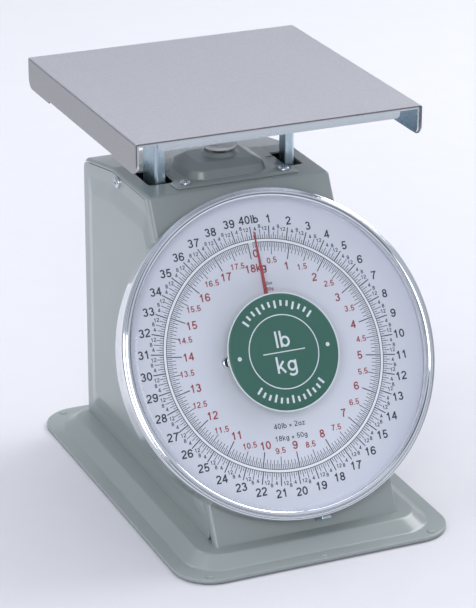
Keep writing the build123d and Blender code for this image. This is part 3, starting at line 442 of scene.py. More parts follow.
SLOT_MATERIALS = {
    "enamel": enamel,
    "stainless": stainless,
    "zinc": zinc,
    "bright_screws": screw_steel,
    "turned_steel": turned_steel,
    "brass": brass,
    "spring_steel": spring_steel,
    "rubber": rubber,
    "white_rubber": gasket_white,
    "chrome": chrome,
    "pan_enamel": pan_enamel,
    "dial_face": dial_enamel,
    "clear_lens": clear_lens,
    "disc_green": disc_green,
    "pointer_red": pointer_red,
    "knob_grey": knob_plastic,
    "damper_steel": damper_black,
}
for subpart in frame["record"]["subparts"]:
    part = nodes[subpart["node"]]
    part.data.materials.clear()
    part.data.materials.append(SLOT_MATERIALS[subpart["material_slot"]])
nodes["platform_frame"].data.materials[0] = frame_zinc


# ------------------------------------------------------------------ mesh helpers
def add_object(name, vertices, faces, material, body, smooth=True):
    mesh = bpy.data.meshes.new(name)
    mesh.from_pydata([tuple(v) for v in vertices], [], faces)
    mesh.validate()
    builder = bmesh.new()
    builder.from_mesh(mesh)
    if smooth:
        bmesh.ops.remove_doubles(builder, verts=builder.verts, dist=1e-7)
    bmesh.ops.recalc_face_normals(builder, faces=builder.faces)
    builder.to_mesh(mesh)
    builder.free()
    for polygon in mesh.polygons:
        polygon.use_smooth = smooth
    mesh.materials.append(material)
    obj = bpy.data.objects.new(name, mesh)
    bpy.context.scene.collection.objects.link(obj)
    if body:
        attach(obj, body)
    return obj


def round_corners(corners, radii, steps=8):
    """Closed outline from corner points, each corner turned into an arc."""
    outline = []
    count = len(corners)
    for i, corner in enumerate(corners):
        here = Vector(corner)
        before = (Vector(corners[i - 1]) - here).normalized()
        after = (Vector(corners[(i + 1) % count]) - here).normalized()
        half_angle = before.angle(after) / 2
        radius = radii[i]
        reach = radius / math.tan(half_angle)
        centre = here + (before + after).normalized() * radius / math.sin(half_angle)
        start = here + before * reach - centre
        turn = math.pi - 2 * half_angle
        sense = -1 if before.x * after.y - before.y * after.x > 0 else 1
        for step in range(steps + 1):
            angle = sense * turn * step / steps
            c, s = math.cos(angle), math.sin(angle)
            outline.append(centre + Vector((start.x * c - start.y * s, start.x * s + start.y * c)))
    return outline


def rounded_rectangle(half_x, half_y, radius, centre=(0, 0), steps=12):
    cx, cy = centre
    corners = [
        (cx - half_x, cy - half_y),
        (cx + half_x, cy - half_y),
        (cx + half_x, cy + half_y),
        (cx - half_x, cy + half_y),
    ]
    return round_corners(corners, [radius] * 4, steps)


def circle(radius, centre, steps=96):
    outline = []
    for k in range(steps):
        angle = 2 * math.pi * k / steps
        outline.append(Vector((centre[0] + radius * math.cos(angle), centre[1] + radius * math.sin(angle))))
    return outline


def on_rays(outlines, centre):
    """The outlines re-cut by one common set of rays from the centre, so they can be joined."""
    middle = Vector(centre)

    def bearing(point):
        return math.atan2(point.y - middle.y, point.x - middle.x)

    angles = sorted({round(bearing(point), 5) for outline in outlines for point in outline})
    spread_angles = [angles[0]]
    for angle in angles[1:]:
        if angle - spread_angles[-1] > 0.0015:
            spread_angles.append(angle)
    recut = []
    for outline in outlines:
        spokes = sorted(outline, key=bearing)
        bearings = [bearing(point) for point in spokes]
        ring = []
        for angle in spread_angles:
            k = bisect.bisect_right(bearings, angle)
            a = spokes[k - 1] - middle
            b = spokes[k % len(spokes)] - middle
            ray = Vector((math.cos(angle), math.sin(angle)))
            edge = b - a
            cross = ray.x * edge.y - ray.y * edge.x
            if abs(cross) < 1e-9:
                ring.append(middle + a)
                continue
            reach = (a.x * edge.y - a.y * edge.x) / cross
            ring.append(middle + ray * reach)
        recut.append(ring)
    return recut


def folded_column(points, folds, steps=5):
    """A polyline in space with each inner corner rounded over the given fold length."""
    column = [points[0]]
    for i in range(1, len(points) - 1):
        here = points[i]
        back, ahead = points[i - 1] - here, points[i + 1] - here
        fold = folds[i]
        start = here + back.normalized() * min(fold, 0.45 * back.length)
        end = here + ahead.normalized() * min(fold, 0.45 * ahead.length)
        for k in range(steps + 1):
            t = k / steps
            column.append(start * (1 - t) ** 2 + here * 2 * t * (1 - t) + end * t * t)
    column.append(points[-1])
    return column


def pressed_sheet(name, levels, centre, place, thickness, material, closed=True):
    """A pressed sheet through levels of (outline, height, fold length) in millimetres.

    place(x, y, h) puts a point in space. A closed sheet ends in a flat cap, an open one in a hole.
    """
    rings = on_rays([level[0] for level in levels], centre)
    heights = [level[1] for level in levels]
    folds = [level[2] * MM for level in levels]
    count = len(rings[0])
    columns = []
    for i in range(count):
        points = [place(ring[i].x, ring[i].y, h) for ring, h in zip(rings, heights)]
        columns.append(folded_column(points, folds))
    rows = len(columns[0])
    vertices = [column[row] for row in range(rows) for column in columns]
    faces = []
    for row in range(rows - 1):
        for i in range(count):
            j = (i + 1) % count
            a, b = row * count, (row + 1) * count
            faces.append((a + i, a + j, b + j, b + i))
    if closed:
        inner = (rows - 1) * count
        vertices.append(place(*centre, heights[-1]))
        for i in range(count):
            faces.append((inner + i, inner + (i + 1) % count, len(vertices) - 1))
    obj = add_object(name, vertices, faces, material, None)
    thicken = obj.modifiers.new("thickness", "SOLIDIFY")
    thicken.thickness = thickness * MM
    thicken.offset = -1
    return obj


def upright(x, y, h):
    return Vector((x, y, h)) * MM


def add_prism(vertices, faces, outline, low, high, place):
    """A flat closed prism from an outline of (x, y) between two heights."""
    start = len(vertices)
    count = len(outline)
    vertices += [place(x, y, low) for x, y in outline]
    vertices += [place(x, y, high) for x, y in outline]
    faces.append(tuple(range(start + count - 1, start - 1, -1)))
    faces.append(tuple(range(start + count, start + 2 * count)))
    for i in range(count):
        j = (i + 1) % count
        faces.append((start + i, start + j, start + count + j, start + count + i))


def add_ribbon(vertices, faces, path, width, low, high, place, closed=False):
    """A flat closed stroke of even width along a path of (x, y)."""
    points = [Vector(p) for p in path]
    count = len(points)
    sides = []
    for i, point in enumerate(points):
        if closed:
            before, after = points[i - 1], points[(i + 1) % count]
        else:
            before, after = points[max(0, i - 1)], points[min(count - 1, i + 1)]
        ahead = (after - point).normalized() if after != point else (point - before).normalized()
        behind = (point - before).normalized() if before != point else ahead
        across = Vector((-(ahead + behind).y, (ahead + behind).x)).normalized()
        stretch = 1 / max(0.5, across.dot(Vector((-ahead.y, ahead.x))))
        sides.append((point + across * width / 2 * stretch, point - across * width / 2 * stretch))
    start = len(vertices)
    for left, right in sides:
        for h in (low, high):
            vertices.append(place(left.x, left.y, h))
            vertices.append(place(right.x, right.y, h))
    for i in range(count if closed else count - 1):
        a = start + 4 * i
        b = start + 4 * ((i + 1) % count)
        faces.append((a, a + 1, b + 1, b))
        faces.append((a + 2, b + 2, b + 3, a + 3))
        faces.append((a, b, b + 2, a + 2))
        faces.append((a + 1, a + 3, b + 3, b + 1))
    if not closed:
        end = start + 4 * (count - 1)
        faces.append((start, start + 2, start + 3, start + 1))
        faces.append((end, end + 1, end + 3, end + 2))


# ------------------------------------------------------------------ base
base_low, base_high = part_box("base_plate")
base_half_x = base_high.x / MM
base_half_y = base_high.y / MM
plateau_z = base_high.z / MM
rim_z = base_low.z / MM
FLANGE_Z = 3.4
BASE_CORNER, FOOT_CORNER, PLATEAU_CORNER = 26.0, 24.0, 17.0
FLANGE_WIDTH = 10.0
WALL_RUN = 9.2
RIM_TURN = 1.1
BASE_SHEET = 1.2


def base_outline(inset, corner):
    return rounded_rectangle(base_half_x - inset, base_half_y - inset, corner, steps=20)


base = pressed_sheet(
    "base_pressing",
    [
        (base_outline(0, BASE_CORNER), rim_z, 0),
        (base_outline(0, BASE_CORNER), FLANGE_Z, RIM_TURN),
        (base_outline(FLANGE_WIDTH, FOOT_CORNER), FLANGE_Z, 1.6),
        (base_outline(FLANGE_WIDTH + WALL_RUN, PLATEAU_CORNER), plateau_z, 1.8),
        (base_outline(24, 14), plateau_z, 0.5),
        (base_outline(45, 12), plateau_z, 0),
    ],
    (0, 0),
    upright,
    BASE_SHEET,
    enamel,
)
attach(base, "scale_body")
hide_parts("base_plate")

# weld mark in the middle of the front flange
MARK_Y, MARK_R = FLANGE_WIDTH / 2 - base_half_y, 2.4
vertices, faces = [], []
MARK_RINGS, MARK_STEPS = 6, 24
for ring in range(MARK_RINGS):
    angle = math.pi / 2 * ring / MARK_RINGS
    for k in range(MARK_STEPS):
        turn = 2 * math.pi * k / MARK_STEPS
        reach = MARK_R * math.cos(angle)
        h = FLANGE_Z - 0.1 + 0.65 * math.sin(angle)
        vertices.append(upright(reach * math.cos(turn), MARK_Y + reach * math.sin(turn), h))
for ring in range(MARK_RINGS - 1):
    for k in range(MARK_STEPS):
        a, b = ring * MARK_STEPS, (ring + 1) * MARK_STEPS
        j = (k + 1) % MARK_STEPS
        faces.append((a + k, a + j, b + j, b + k))
faces.append(tuple(range(MARK_STEPS - 1, -1, -1)))
faces.append(tuple(range((MARK_RINGS - 1) * MARK_STEPS, MARK_RINGS * MARK_STEPS)))
add_object("flange_weld_mark", vertices, faces, enamel, "scale_body")

# ------------------------------------------------------------------ side panels with a pressed field
shell_low, shell_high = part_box("housing_shell")
roof_z = shell_high.z / MM
front_foot_y = shell_low.y / MM
back_y = shell_high.y / MM
side_x = shell_high.x / MM
KINK_Y, BACK_TOP_Z = 63.6, 204.2
EDGE_RETURN, ROOF_RETURN, SEAM = 5.5, 2.6, 0.5
roof_slope = math.atan((roof_z - BACK_TOP_Z) / (back_y - KINK_Y))


def front_line_y(z, inset):
    return front_foot_y + (z - plateau_z) * math.tan(tilt) + inset / math.cos(tilt)


def side_corners(front, top, back, bottom):
    """Corners (y, z) of the housing seen from the side, pulled in from each edge."""
    low_z, high_z = plateau_z + bottom, roof_z - top
    turn_y = KINK_Y - top * math.tan(roof_slope / 2)
    rear_y = back_y - back
    return [
        (front_line_y(low_z, front), low_z),
        (front_line_y(high_z, front), high_z),
        (turn_y, high_z),
        (rear_y, high_z - (rear_y - turn_y) * math.tan(roof_slope)),
        (rear_y, low_z),
    ]


FIELD_HEIGHT = 2.2
PANEL_SHEET, PANEL_SINK = 1.0, 0.25
panel_edge = round_corners(
    side_corners(EDGE_RETURN + SEAM, ROOF_RETURN + SEAM, 0, 0.05), [5, 1.2, 6, 6, 0.4]
)
for side, label in ((-1, "left"), (1, "right")):
    panel = pressed_sheet(
        f"side_pressing_{label}",
        [
            (panel_edge, -PANEL_SINK, 0),
            (panel_edge, 0.0, 0.2),
            (round_corners(side_corners(8.2, 12, 9, 11), [5] * 5), 0.0, 1.4),
            (round_corners(side_corners(14.5, 24, 20, 23), [5] * 5), FIELD_HEIGHT, 1.6),
            (round_corners(side_corners(22, 32, 28, 31), [5] * 5), FIELD_HEIGHT, 0),
        ],
        (12.0, 105.0),
        lambda y, z, h, side=side: Vector((side * (side_x + h), y, z)) * MM,
        PANEL_SHEET,
        enamel,
    )
    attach(panel, "scale_body")
    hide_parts(f"side_panel_{label}")

# ------------------------------------------------------------------ top cover
cover_low, cover_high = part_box("top_cover")
cover_mid_x = (cover_low.x + cover_high.x) / 2 / MM
cover_front_y, cover_back_y = cover_low.y / MM, cover_high.y / MM
tab_half = (cover_high.x - cover_low.x) / 2 / MM
cover_top_z = cover_high.z / MM
COVER_HALF = 41.0
TAB_BACK_Y = 17.0
COVER_SHEET = 1.0
BOX_MID_Y = 36.0
BOX_LEVELS = ((0.0, 58.5, 46.5, 13.0), (5.6, 55.0, 43.0, 11.5), (9.2, 40.0, 28.0, 5.0))
zero_joint = joints["zero_knob_turn"]
zero_x, zero_y = zero_joint["pos_m"][0] / MM, zero_joint["pos_m"][1] / MM
sheet_z = roof_z + COVER_SHEET

cover_corners = [
    (cover_mid_x - tab_half, cover_front_y),
    (cover_mid_x + tab_half, cover_front_y),
    (cover_mid_x + tab_half, TAB_BACK_Y),
    (cover_mid_x + COVER_HALF, TAB_BACK_Y + 2.6),
    (cover_mid_x + COVER_HALF, cover_back_y),
    (cover_mid_x - COVER_HALF, cover_back_y),
    (cover_mid_x - COVER_HALF, TAB_BACK_Y + 2.6),
    (cover_mid_x - tab_half, TAB_BACK_Y),
]
cover_levels = [(round_corners(cover_corners, [2, 2, 1, 1, 4, 4, 1, 1], steps=4), sheet_z, 0)]
for rise, width, depth, corner in BOX_LEVELS:
    box_outline = rounded_rectangle(width / 2, depth / 2, corner, (0, BOX_MID_Y), steps=10)
    cover_levels.append((box_outline, sheet_z + rise, 0.8))
box_top_z = cover_levels[-1][1]
boss_centre = (zero_x, zero_y)
cover_levels += [
    (circle(12.6, boss_centre), box_top_z, 0.7),
    (circle(10.8, boss_centre), cover_top_z, 0.6),
    (circle(5.0, boss_centre), cover_top_z, 0),
]
cover = pressed_sheet(
    "cover_pressing",
    cover_levels,
    boss_centre,
    upright,
    COVER_SHEET - 0.05,
    enamel,
    closed=False,
)
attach(cover, "scale_body")
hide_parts("top_cover")

# the two alignment slots in the cover, shown as thin dark inlays on the sheet: painted shade standing for their
# openings
SLOT_X, SLOT_Y = (-36.5, 40.5), 40.3
vertices, faces = [], []
for x in SLOT_X:
    slot_outline = [(p.x, p.y) for p in rounded_rectangle(3.0, 0.6, 0.59, (x, SLOT_Y), steps=5)]
    add_prism(vertices, faces, slot_outline, sheet_z - 0.02, sheet_z + 0.03, upright)
add_object("cover_slots", vertices, faces, slot_dark, "scale_body", smooth=False)


# ------------------------------------------------------------------ turned parts on the dial's axis
def turned(name, profile, body, material, segments=288, place=on_dial):
    """A closed profile of (radius, height) in millimetres, turned about an axis, the dial's by default."""
    vertices, faces = [], []
    count = len(profile)
    for k in range(segments):
        angle = 2 * math.pi * k / segments
        for radius, h in profile:
            vertices.append(place(radius * math.sin(angle), radius * math.cos(angle), h))
    for k in range(segments):
        a, b = k * count, ((k + 1) % segments) * count
        for i in range(count):
            j = (i + 1) % count
            faces.append((a + i, a + j, b + j, b + i))
    return add_object(name, vertices, faces, material, body)


def arc(centre, radius, start, end, steps=8):
    """Points on an arc in (radius, height), angles in degrees from the outward direction."""
    points = []
    for k in range(steps + 1):
        angle = math.radians(start + (end - start) * k / steps)
        points.append((centre[0] + radius * math.cos(angle), centre[1] + radius * math.sin(angle)))
    return points


BEZEL_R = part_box("bezel_ring")[1].x / MM
BEZEL_TOP, OPENING_R = 17.4, 104.3
bezel_profile = [(BEZEL_R - 1.2, 0.6), (BEZEL_R - 0.3, 0.6), (BEZEL_R, BEZEL_TOP - 3.6)]
bezel_profile += arc((BEZEL_R - 1.3, BEZEL_TOP - 2.9), 1.3, 0, 80)
bezel_profile += [(BEZEL_R - 1.75, BEZEL_TOP - 1.75)]
bezel_profile += arc((BEZEL_R - 2.45, BEZEL_TOP - 1.35), 0.6, 0, 170)
bezel_profile += [(BEZEL_R - 3.3, BEZEL_TOP - 1.1)]
bezel_profile += arc((OPENING_R + 2.3, BEZEL_TOP - 2.9), 2.9, 75, 133, 12)
bezel_profile += arc((OPENING_R + 0.5, BEZEL_TOP - 1.35), 0.5, 133, 200, 4)
bezel_profile += [
    (OPENING_R + 0.05, BEZEL_TOP - 2.2),
    (OPENING_R + 0.9, BEZEL_TOP - 2.3),
    (BEZEL_R - 1.9, BEZEL_TOP - 2.6),
    (BEZEL_R - 1.2, BEZEL_TOP - 3.6),
]
bezel = turned("bezel_bead", bezel_profile, "scale_body", chrome)
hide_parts("bezel_ring")

# ------------------------------------------------------------------ zero knob
knob_low, knob_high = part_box("zero_knob")
knob_r = (knob_high.x - knob_low.x) / 2 / MM
knob_top = knob_high.z / MM
KNOB_NECK_R, KNOB_NECK, KNOB_BORE_R = 4.2, 4.0, 1.7
KNOB_STEPS = 12
bowl_low = knob_low.z / MM + KNOB_NECK


def on_knob(x, y, z):
    return upright(zero_x + x, zero_y + y, z)


bowl_rise = knob_top - bowl_low
knob_profile = [(KNOB_BORE_R, knob_low.z / MM), (KNOB_NECK_R, knob_low.z / MM), (KNOB_NECK_R, bowl_low)]
for k in range(1, KNOB_STEPS + 1):
    angle = math.pi / 2 * k / KNOB_STEPS
    reach = KNOB_NECK_R + (knob_r - KNOB_NECK_R) * math.sin(angle) ** 0.9
    knob_profile.append((reach, bowl_low + (bowl_rise - 1.0) * (1 - math.cos(angle))))
knob_profile += [(knob_r, knob_top - 0.3), (knob_r - 0.3, knob_top), (knob_r - 1.9, knob_top)]
knob_profile += [(knob_r - 2.3, knob_top - 0.8), (KNOB_BORE_R, knob_top - 0.8)]
knob = turned("zero_knob_bowl", knob_profile, "zero_adjuster", knob_plastic, 96, on_knob)
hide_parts("zero_knob")

# ------------------------------------------------------------------ dial print
FACE_H = 2.7
PRINT = 0.05
RING_OUTER, RING_INNER = 77.9, 75.9
FULL_LB, FULL_KG = 40, 18
KG_PER_LB = 0.45359237
KG_TICK_DEG = 360 / (FULL_LB * KG_PER_LB) * 0.05


def add_tick(vertices, faces, angle_deg, inner, outer, width):
    angle = math.radians(angle_deg)
    along = Vector((math.sin(angle), math.cos(angle)))
    across = Vector((along.y, -along.x)) * width / 2
    corners = (along * inner - across, along * inner + across, along * outer + across, along * outer - across)
    add_prism(vertices, faces, [(p.x, p.y) for p in corners], FACE_H, FACE_H + PRINT, on_dial)


def round_path(radius, start_deg, end_deg, steps):
    path = []
    for k in range(steps + 1):
        angle = math.radians(start_deg + (end_deg - start_deg) * k / steps)
        path.append((radius * math.sin(angle), radius * math.cos(angle)))
    return path


vertices, faces = [], []
for k in range(FULL_LB * 8):
    if k % 8 == 0:
        outer, width = 86.6, 0.68
    elif k % 4 == 0:
        outer, width = 84.5, 0.44
    elif k % 2 == 0:
        outer, width = 82.6, 0.42
    else:
        outer, width = 80.7, 0.38
    add_tick(vertices, faces, 360 * k / (FULL_LB * 8), RING_OUTER, outer, width)
for k in range(FULL_KG * 20 + 1):
    if k == 0:
        inner, width = 72.4, 0.42
    elif k % 20 == 0:
        inner, width = 65.2, 0.64
    elif k % 10 == 0:
        inner, width = 67.3, 0.46
    elif k % 2 == 0:
        inner, width = 69.7, 0.40
    else:
        inner, width = 72.2, 0.35
    add_tick(vertices, faces, KG_TICK_DEG * k, inner, RING_INNER, width)
outer_circle = round_path(RING_OUTER + 0.08, 0, 360, 360)[:-1]
add_ribbon(vertices, faces, outer_circle, 0.42, FACE_H, FACE_H + PRINT, on_dial, closed=True)
last_kg_deg = KG_TICK_DEG * FULL_KG * 20
inner_arc = round_path(RING_INNER - 0.08, -0.3, last_kg_deg + 0.3, 360)
add_ribbon(vertices, faces, inner_arc, 0.42, FACE_H, FACE_H + PRINT, on_dial)
add_object("dial_graduations", vertices, faces, ink_grey, "scale_body", smooth=False)

vertices, faces = [], []
ring_path = round_path((RING_INNER + RING_OUTER) / 2, 0, 360, 240)[:-1]
ring_width, ring_top = RING_OUTER - RING_INNER - 0.3, FACE_H + PRINT * 0.6
add_ribbon(vertices, faces, ring_path, ring_width, FACE_H, ring_top, on_dial, closed=True)
add_object("dial_ring", vertices, faces, ring_white, "scale_body", smooth=False)


# Plain upright figures drawn as strokes: capital height 1, stroke centre lines.
def oval(cx, cy, rx, ry, start, end, steps=12):
    """Points on an ellipse, angles in degrees anticlockwise from the right."""
    points = []
    for k in range(steps + 1):
        angle = math.radians(start + (end - start) * k / steps)
        points.append((cx + rx * math.cos(angle), cy + ry * math.sin(angle)))
    return points


SIX = [
    (oval(0.335, 0.31, 0.255, 0.24, 0, 360, 20)[:-1], True),
    (oval(0.355, 0.56, 0.275, 0.37, 28, 180, 12) + [(0.08, 0.34)], False),
]
WIDE = 0.77      # advance of a full-width figure
GLYPHS = {
    "0": (WIDE, [(oval(0.335, 0.5, 0.255, 0.43, 0, 360, 24)[:-1], True)]),
    "1": (
        WIDE,
        [
            ([(0.38, 0), (0.38, 1.0)], False),
            ([(0.12, 0.735), (0.24, 0.755), (0.33, 0.84), (0.37, 0.96)], False),
        ],
    ),
    "2": (
        WIDE,
        [
            (
                oval(0.33, 0.70, 0.25, 0.23, 170, -28, 12)
                + [(0.40, 0.42), (0.20, 0.26), (0.11, 0.14), (0.09, 0.07), (0.61, 0.07)],
                False,
            )
        ],
    ),
    "3": (
        WIDE,
        [
            (oval(0.31, 0.725, 0.22, 0.205, 165, -90, 12), False),
            (oval(0.32, 0.295, 0.25, 0.225, 90, -165, 12), False),
        ],
    ),
    "4": (WIDE, [([(0.47, 0), (0.47, 1.0)], False), ([(0.47, 0.95), (0.07, 0.30), (0.66, 0.30)], False)]),
    "5": (
        WIDE,
        [([(0.59, 0.93), (0.18, 0.93), (0.12, 0.47)] + oval(0.33, 0.32, 0.25, 0.25, 140, -155, 12), False)],
    ),
    "6": (WIDE, SIX),
    "7": (WIDE, [([(0.07, 0.93), (0.61, 0.93), (0.46, 0.70), (0.34, 0.42), (0.26, 0)], False)]),
    "8": (
        WIDE,
        [
            (oval(0.335, 0.73, 0.21, 0.20, 0, 360, 18)[:-1], True),
            (oval(0.335, 0.29, 0.25, 0.22, 0, 360, 20)[:-1], True),
        ],
    ),
    "9": (WIDE, [([(0.67 - x, 1 - y) for x, y in path], closed) for path, closed in SIX]),
    ".": (0.38, [([(0.10, 0.07), (0.24, 0.07)], False)]),
    "=": (WIDE, [([(0.10, 0.28), (0.60, 0.28)], False), ([(0.10, 0.52), (0.60, 0.52)], False)]),
    "l": (0.32, [([(0.14, 0), (0.14, 1.0)], False)]),
    "b": (WIDE, [([(0.10, 0), (0.10, 1.0)], False), (oval(0.35, 0.33, 0.24, 0.27, 0, 360, 20)[:-1], True)]),
    "k": (
        0.70,
        [
            ([(0.10, 0), (0.10, 1.0)], False),
            ([(0.12, 0.27), (0.50, 0.70)], False),
            ([(0.24, 0.42), (0.55, 0)], False),
        ],
    ),
    "g": (
        WIDE,
        [
            (oval(0.31, 0.36, 0.23, 0.26, 0, 360, 20)[:-1], True),
            ([(0.55, 0.68), (0.55, 0.0)] + oval(0.31, -0.02, 0.24, 0.18, -10, -155, 8), False),
        ],
    ),
    "o": (0.75, [(oval(0.33, 0.33, 0.25, 0.27, 0, 360, 20)[:-1], True)]),
    "z": (0.68, [([(0.06, 0.60), (0.50, 0.60), (0.07, 0.07), (0.54, 0.07)], False)]),
    "x": (0.70, [([(0.08, 0.14), (0.48, 0.54)], False), ([(0.08, 0.54), (0.48, 0.14)], False)]),
    " ": (0.38, []),
}


def add_text(vertices, faces, text, x, y, cap, weight=0.17, low=FACE_H, surface_at=None):
    """A line of upright figures of the given capital height, centred at (x, y)."""
    place = surface_at or on_dial
    advance = sum(GLYPHS[letter][0] for letter in text)
    left = x - (advance - 0.1) * cap / 2
    bottom = y - cap / 2
    for letter in text:
        step, strokes = GLYPHS[letter]
        for path, closed in strokes:
            line = [(left + px * cap, bottom + py * cap) for px, py in path]
            add_ribbon(vertices, faces, line, weight * cap, low, low + PRINT, place, closed)
        left += step * cap


def add_label(vertices, faces, text, angle_deg, radius, cap, weight=0.17):
    angle = math.radians(angle_deg)
    add_text(vertices, faces, text, radius * math.sin(angle), radius * math.cos(angle), cap, weight)


vertices, faces = [], []
for pound in range(1, FULL_LB + 1):
    text = f"{pound}lb" if pound == FULL_LB else str(pound)
    add_label(vertices, faces, text, 9 * pound, 91.4, 5.5)
for pound in range(FULL_LB):
    for quarter, (ounces, radius) in enumerate((("4", 84.8), ("8", 86.4), ("12", 84.9))):
        add_label(vertices, faces, ounces, 9 * (pound + 0.25 * (quarter + 1)), radius, 2.6)
add_text(vertices, faces, "40lb x 2oz", 0.3, -46.9, 3.6, 0.14)
add_text(vertices, faces, "18kg x 50g", 0.0, -54.9, 3.5, 0.14)
add_text(vertices, faces, "= 2oz", 4.6, 47.7, 2.1, 0.18)
add_object("dial_numbers_lb", vertices, faces, ink_grey, "scale_body", smooth=False)

vertices, faces = [], []
add_text(vertices, faces, "0", 0.4, 68.5, 5.3)
for half_kilo in range(1, FULL_KG * 2):
    angle = KG_TICK_DEG * 10 * half_kilo
    if half_kilo % 2 == 0:
        add_label(vertices, faces, str(half_kilo // 2), angle, 60.8, 5.3)
    else:
        add_label(vertices, faces, f"{half_kilo / 2:.1f}", angle, 63.4, 3.9)
add_text(vertices, faces, "18kg", -1.5, 58.9, 5.3)
add_text(vertices, faces, "= 50g", 4.6, 43.9, 2.1, 0.18)
add_object("dial_numbers_kg", vertices, faces, ink_red, "scale_body", smooth=False)

# ------------------------------------------------------------------ centre disc print, under the lens
LENS_RISE, LENS_SEAT, LENS_SHEET = 6.2, 13.4, 2.0
DISC_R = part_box("centre_disc")[1].x / MM
LABEL_GAP, LABEL_SHEET = 0.16, 0.3
dome_r = (OPENING_R**2 + LENS_RISE**2) / (2 * LENS_RISE)


def dome_h(radius):
    """Height of the lens's inner dome at a radius."""
    return LENS_SEAT + LENS_RISE - dome_r + math.sqrt(dome_r**2 - radius * radius)


def on_disc(x, y, h):
    """Point h above the face of the label under the lens."""
    return on_dial(x, y, dome_h(math.hypot(x, y)) - LABEL_GAP + h)


LENS_STEPS, DISC_STEPS = 24, 16
lens_radii = [(OPENING_R - 0.6) * k / LENS_STEPS for k in range(LENS_STEPS + 1)]
lens_profile = [(radius, dome_h(radius)) for radius in lens_radii]
lens_profile += [(radius, dome_h(radius) + LENS_SHEET) for radius in reversed(lens_radii)]
lens_dome = turned("lens_dome", lens_profile, "scale_body", clear_lens)
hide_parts("lens")

disc_radii = [DISC_R * k / DISC_STEPS for k in range(DISC_STEPS + 1)]
disc_profile = [(radius, dome_h(radius) - LABEL_GAP - LABEL_SHEET) for radius in disc_radii]
disc_profile += [(radius, dome_h(radius) - LABEL_GAP) for radius in reversed(disc_radii)]
disc_label = turned("disc_label", disc_profile, "scale_body", disc_green, 144)
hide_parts("centre_disc")

DISC_PRINT = 0.04
vertices, faces = [], []
edge_path = round_path(DISC_R - 0.45, 0, 360, 180)[:-1]
add_ribbon(vertices, faces, edge_path, 0.9, 0.0, DISC_PRINT, on_disc, closed=True)
inner_path = round_path(24.5, 0, 360, 120)[:-1]
add_ribbon(vertices, faces, inner_path, 0.7, 0.0, DISC_PRINT, on_disc, closed=True)
for middle, half_fan, bars in ((0, 46, 13), (180, 44, 13)):
    for k in range(bars):
        angle = math.radians(middle - half_fan + 2 * half_fan * k / (bars - 1))
        reach = (29.0, 34.2) if k % 3 == 0 else (30.4, 34.2)
        bar = [(radius * math.sin(angle), radius * math.cos(angle)) for radius in reach]
        add_ribbon(vertices, faces, bar, 1.5, 0.0, DISC_PRINT, on_disc)
for x in (-31.6, 31.6):
    dot = oval(x, 0, 0.8, 0.8, 0, 360, 16)[:-1]
    add_ribbon(vertices, faces, dot, 1.2, 0.0, DISC_PRINT, on_disc, closed=True)
add_text(vertices, faces, "lb", 0, 8.5, 11.0, 0.13, 0.0, on_disc)
add_ribbon(vertices, faces, [(-15, 0), (0, 0), (15, 0)], 0.7, 0.0, DISC_PRINT, on_disc)
add_text(vertices, faces, "kg", 0, -8.2, 11.0, 0.13, 0.0, on_disc)
add_object("disc_print", vertices, faces, disc_white, "scale_body", smooth=False)

# ------------------------------------------------------------------ load springs
spring_low, spring_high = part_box("load_springs")
SPRING_TURNS, WIRE_R, COIL_R = 15, 1.33, 10.0
WIRE_SIDES, STEPS_PER_TURN = 10, 28
HANGER_CLEARANCE = 1.4


def coil(name, axis_x, axis_y):
    """One coil between the crossbar and the hanger, clear of the hanger at its lowest."""
    bottom, top = spring_low.z / MM + WIRE_R, spring_high.z / MM - WIRE_R - HANGER_CLEARANCE
    total = SPRING_TURNS * STEPS_PER_TURN
    vertices, faces = [], []
    for k in range(total + 1):
        t = k / total
        angle = 2 * math.pi * SPRING_TURNS * t
        centre = Vector((COIL_R * math.cos(angle), COIL_R * math.sin(angle), bottom + (top - bottom) * t))
        outward = Vector((math.cos(angle), math.sin(angle), 0))
        rise = (top - bottom) / (2 * math.pi * SPRING_TURNS)
        forward = Vector((-COIL_R * math.sin(angle), COIL_R * math.cos(angle), rise)).normalized()
        upward = outward.cross(forward)
        for s in range(WIRE_SIDES):
            a = 2 * math.pi * s / WIRE_SIDES
            point = centre + (outward * math.cos(a) + upward * math.sin(a)) * WIRE_R
            vertices.append(Vector((axis_x + point.x, axis_y + point.y, point.z)) * MM)
    for k in range(total):
        for s in range(WIRE_SIDES):
            a, b = k * WIRE_SIDES, (k + 1) * WIRE_SIDES
            j = (s + 1) % WIRE_SIDES
            faces.append((a + s, a + j, b + j, b + s))
    faces.append(tuple(range(WIRE_SIDES - 1, -1, -1)))
    faces.append(tuple(range(total * WIRE_SIDES, (total + 1) * WIRE_SIDES)))
    spring = add_object(name, vertices, faces, spring_steel, None)
    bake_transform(spring)
    return spring


spring_mid_x = (spring_low.x + spring_high.x) / 2 / MM
spring_mid_y = (spring_low.y + spring_high.y) / 2 / MM
spring_spread = (spring_high.x - spring_low.x) / 2 / MM - COIL_R - WIRE_R
springs = [
    coil("load_spring_left", spring_mid_x - spring_spread, spring_mid_y),
    coil("load_spring_right", spring_mid_x + spring_spread, spring_mid_y),
]
for spring in springs:
    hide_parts("load_springs")

# ------------------------------------------------------------------ camera, light and floor
def area_light(name, location, target, size, power, colour):
    light = bpy.data.lights.new(name, "AREA")
    light.shape = "RECTANGLE"
    light.size, light.size_y = size
    light.energy = power
    light.color = colour
    holder = bpy.data.objects.new(name, light)
    bpy.context.scene.collection.objects.link(holder)
    holder.location = location
    holder.rotation_euler = (Vector(target) - Vector(location)).to_track_quat("-Z", "Y").to_euler()
    holder.visible_camera = False
    return holder


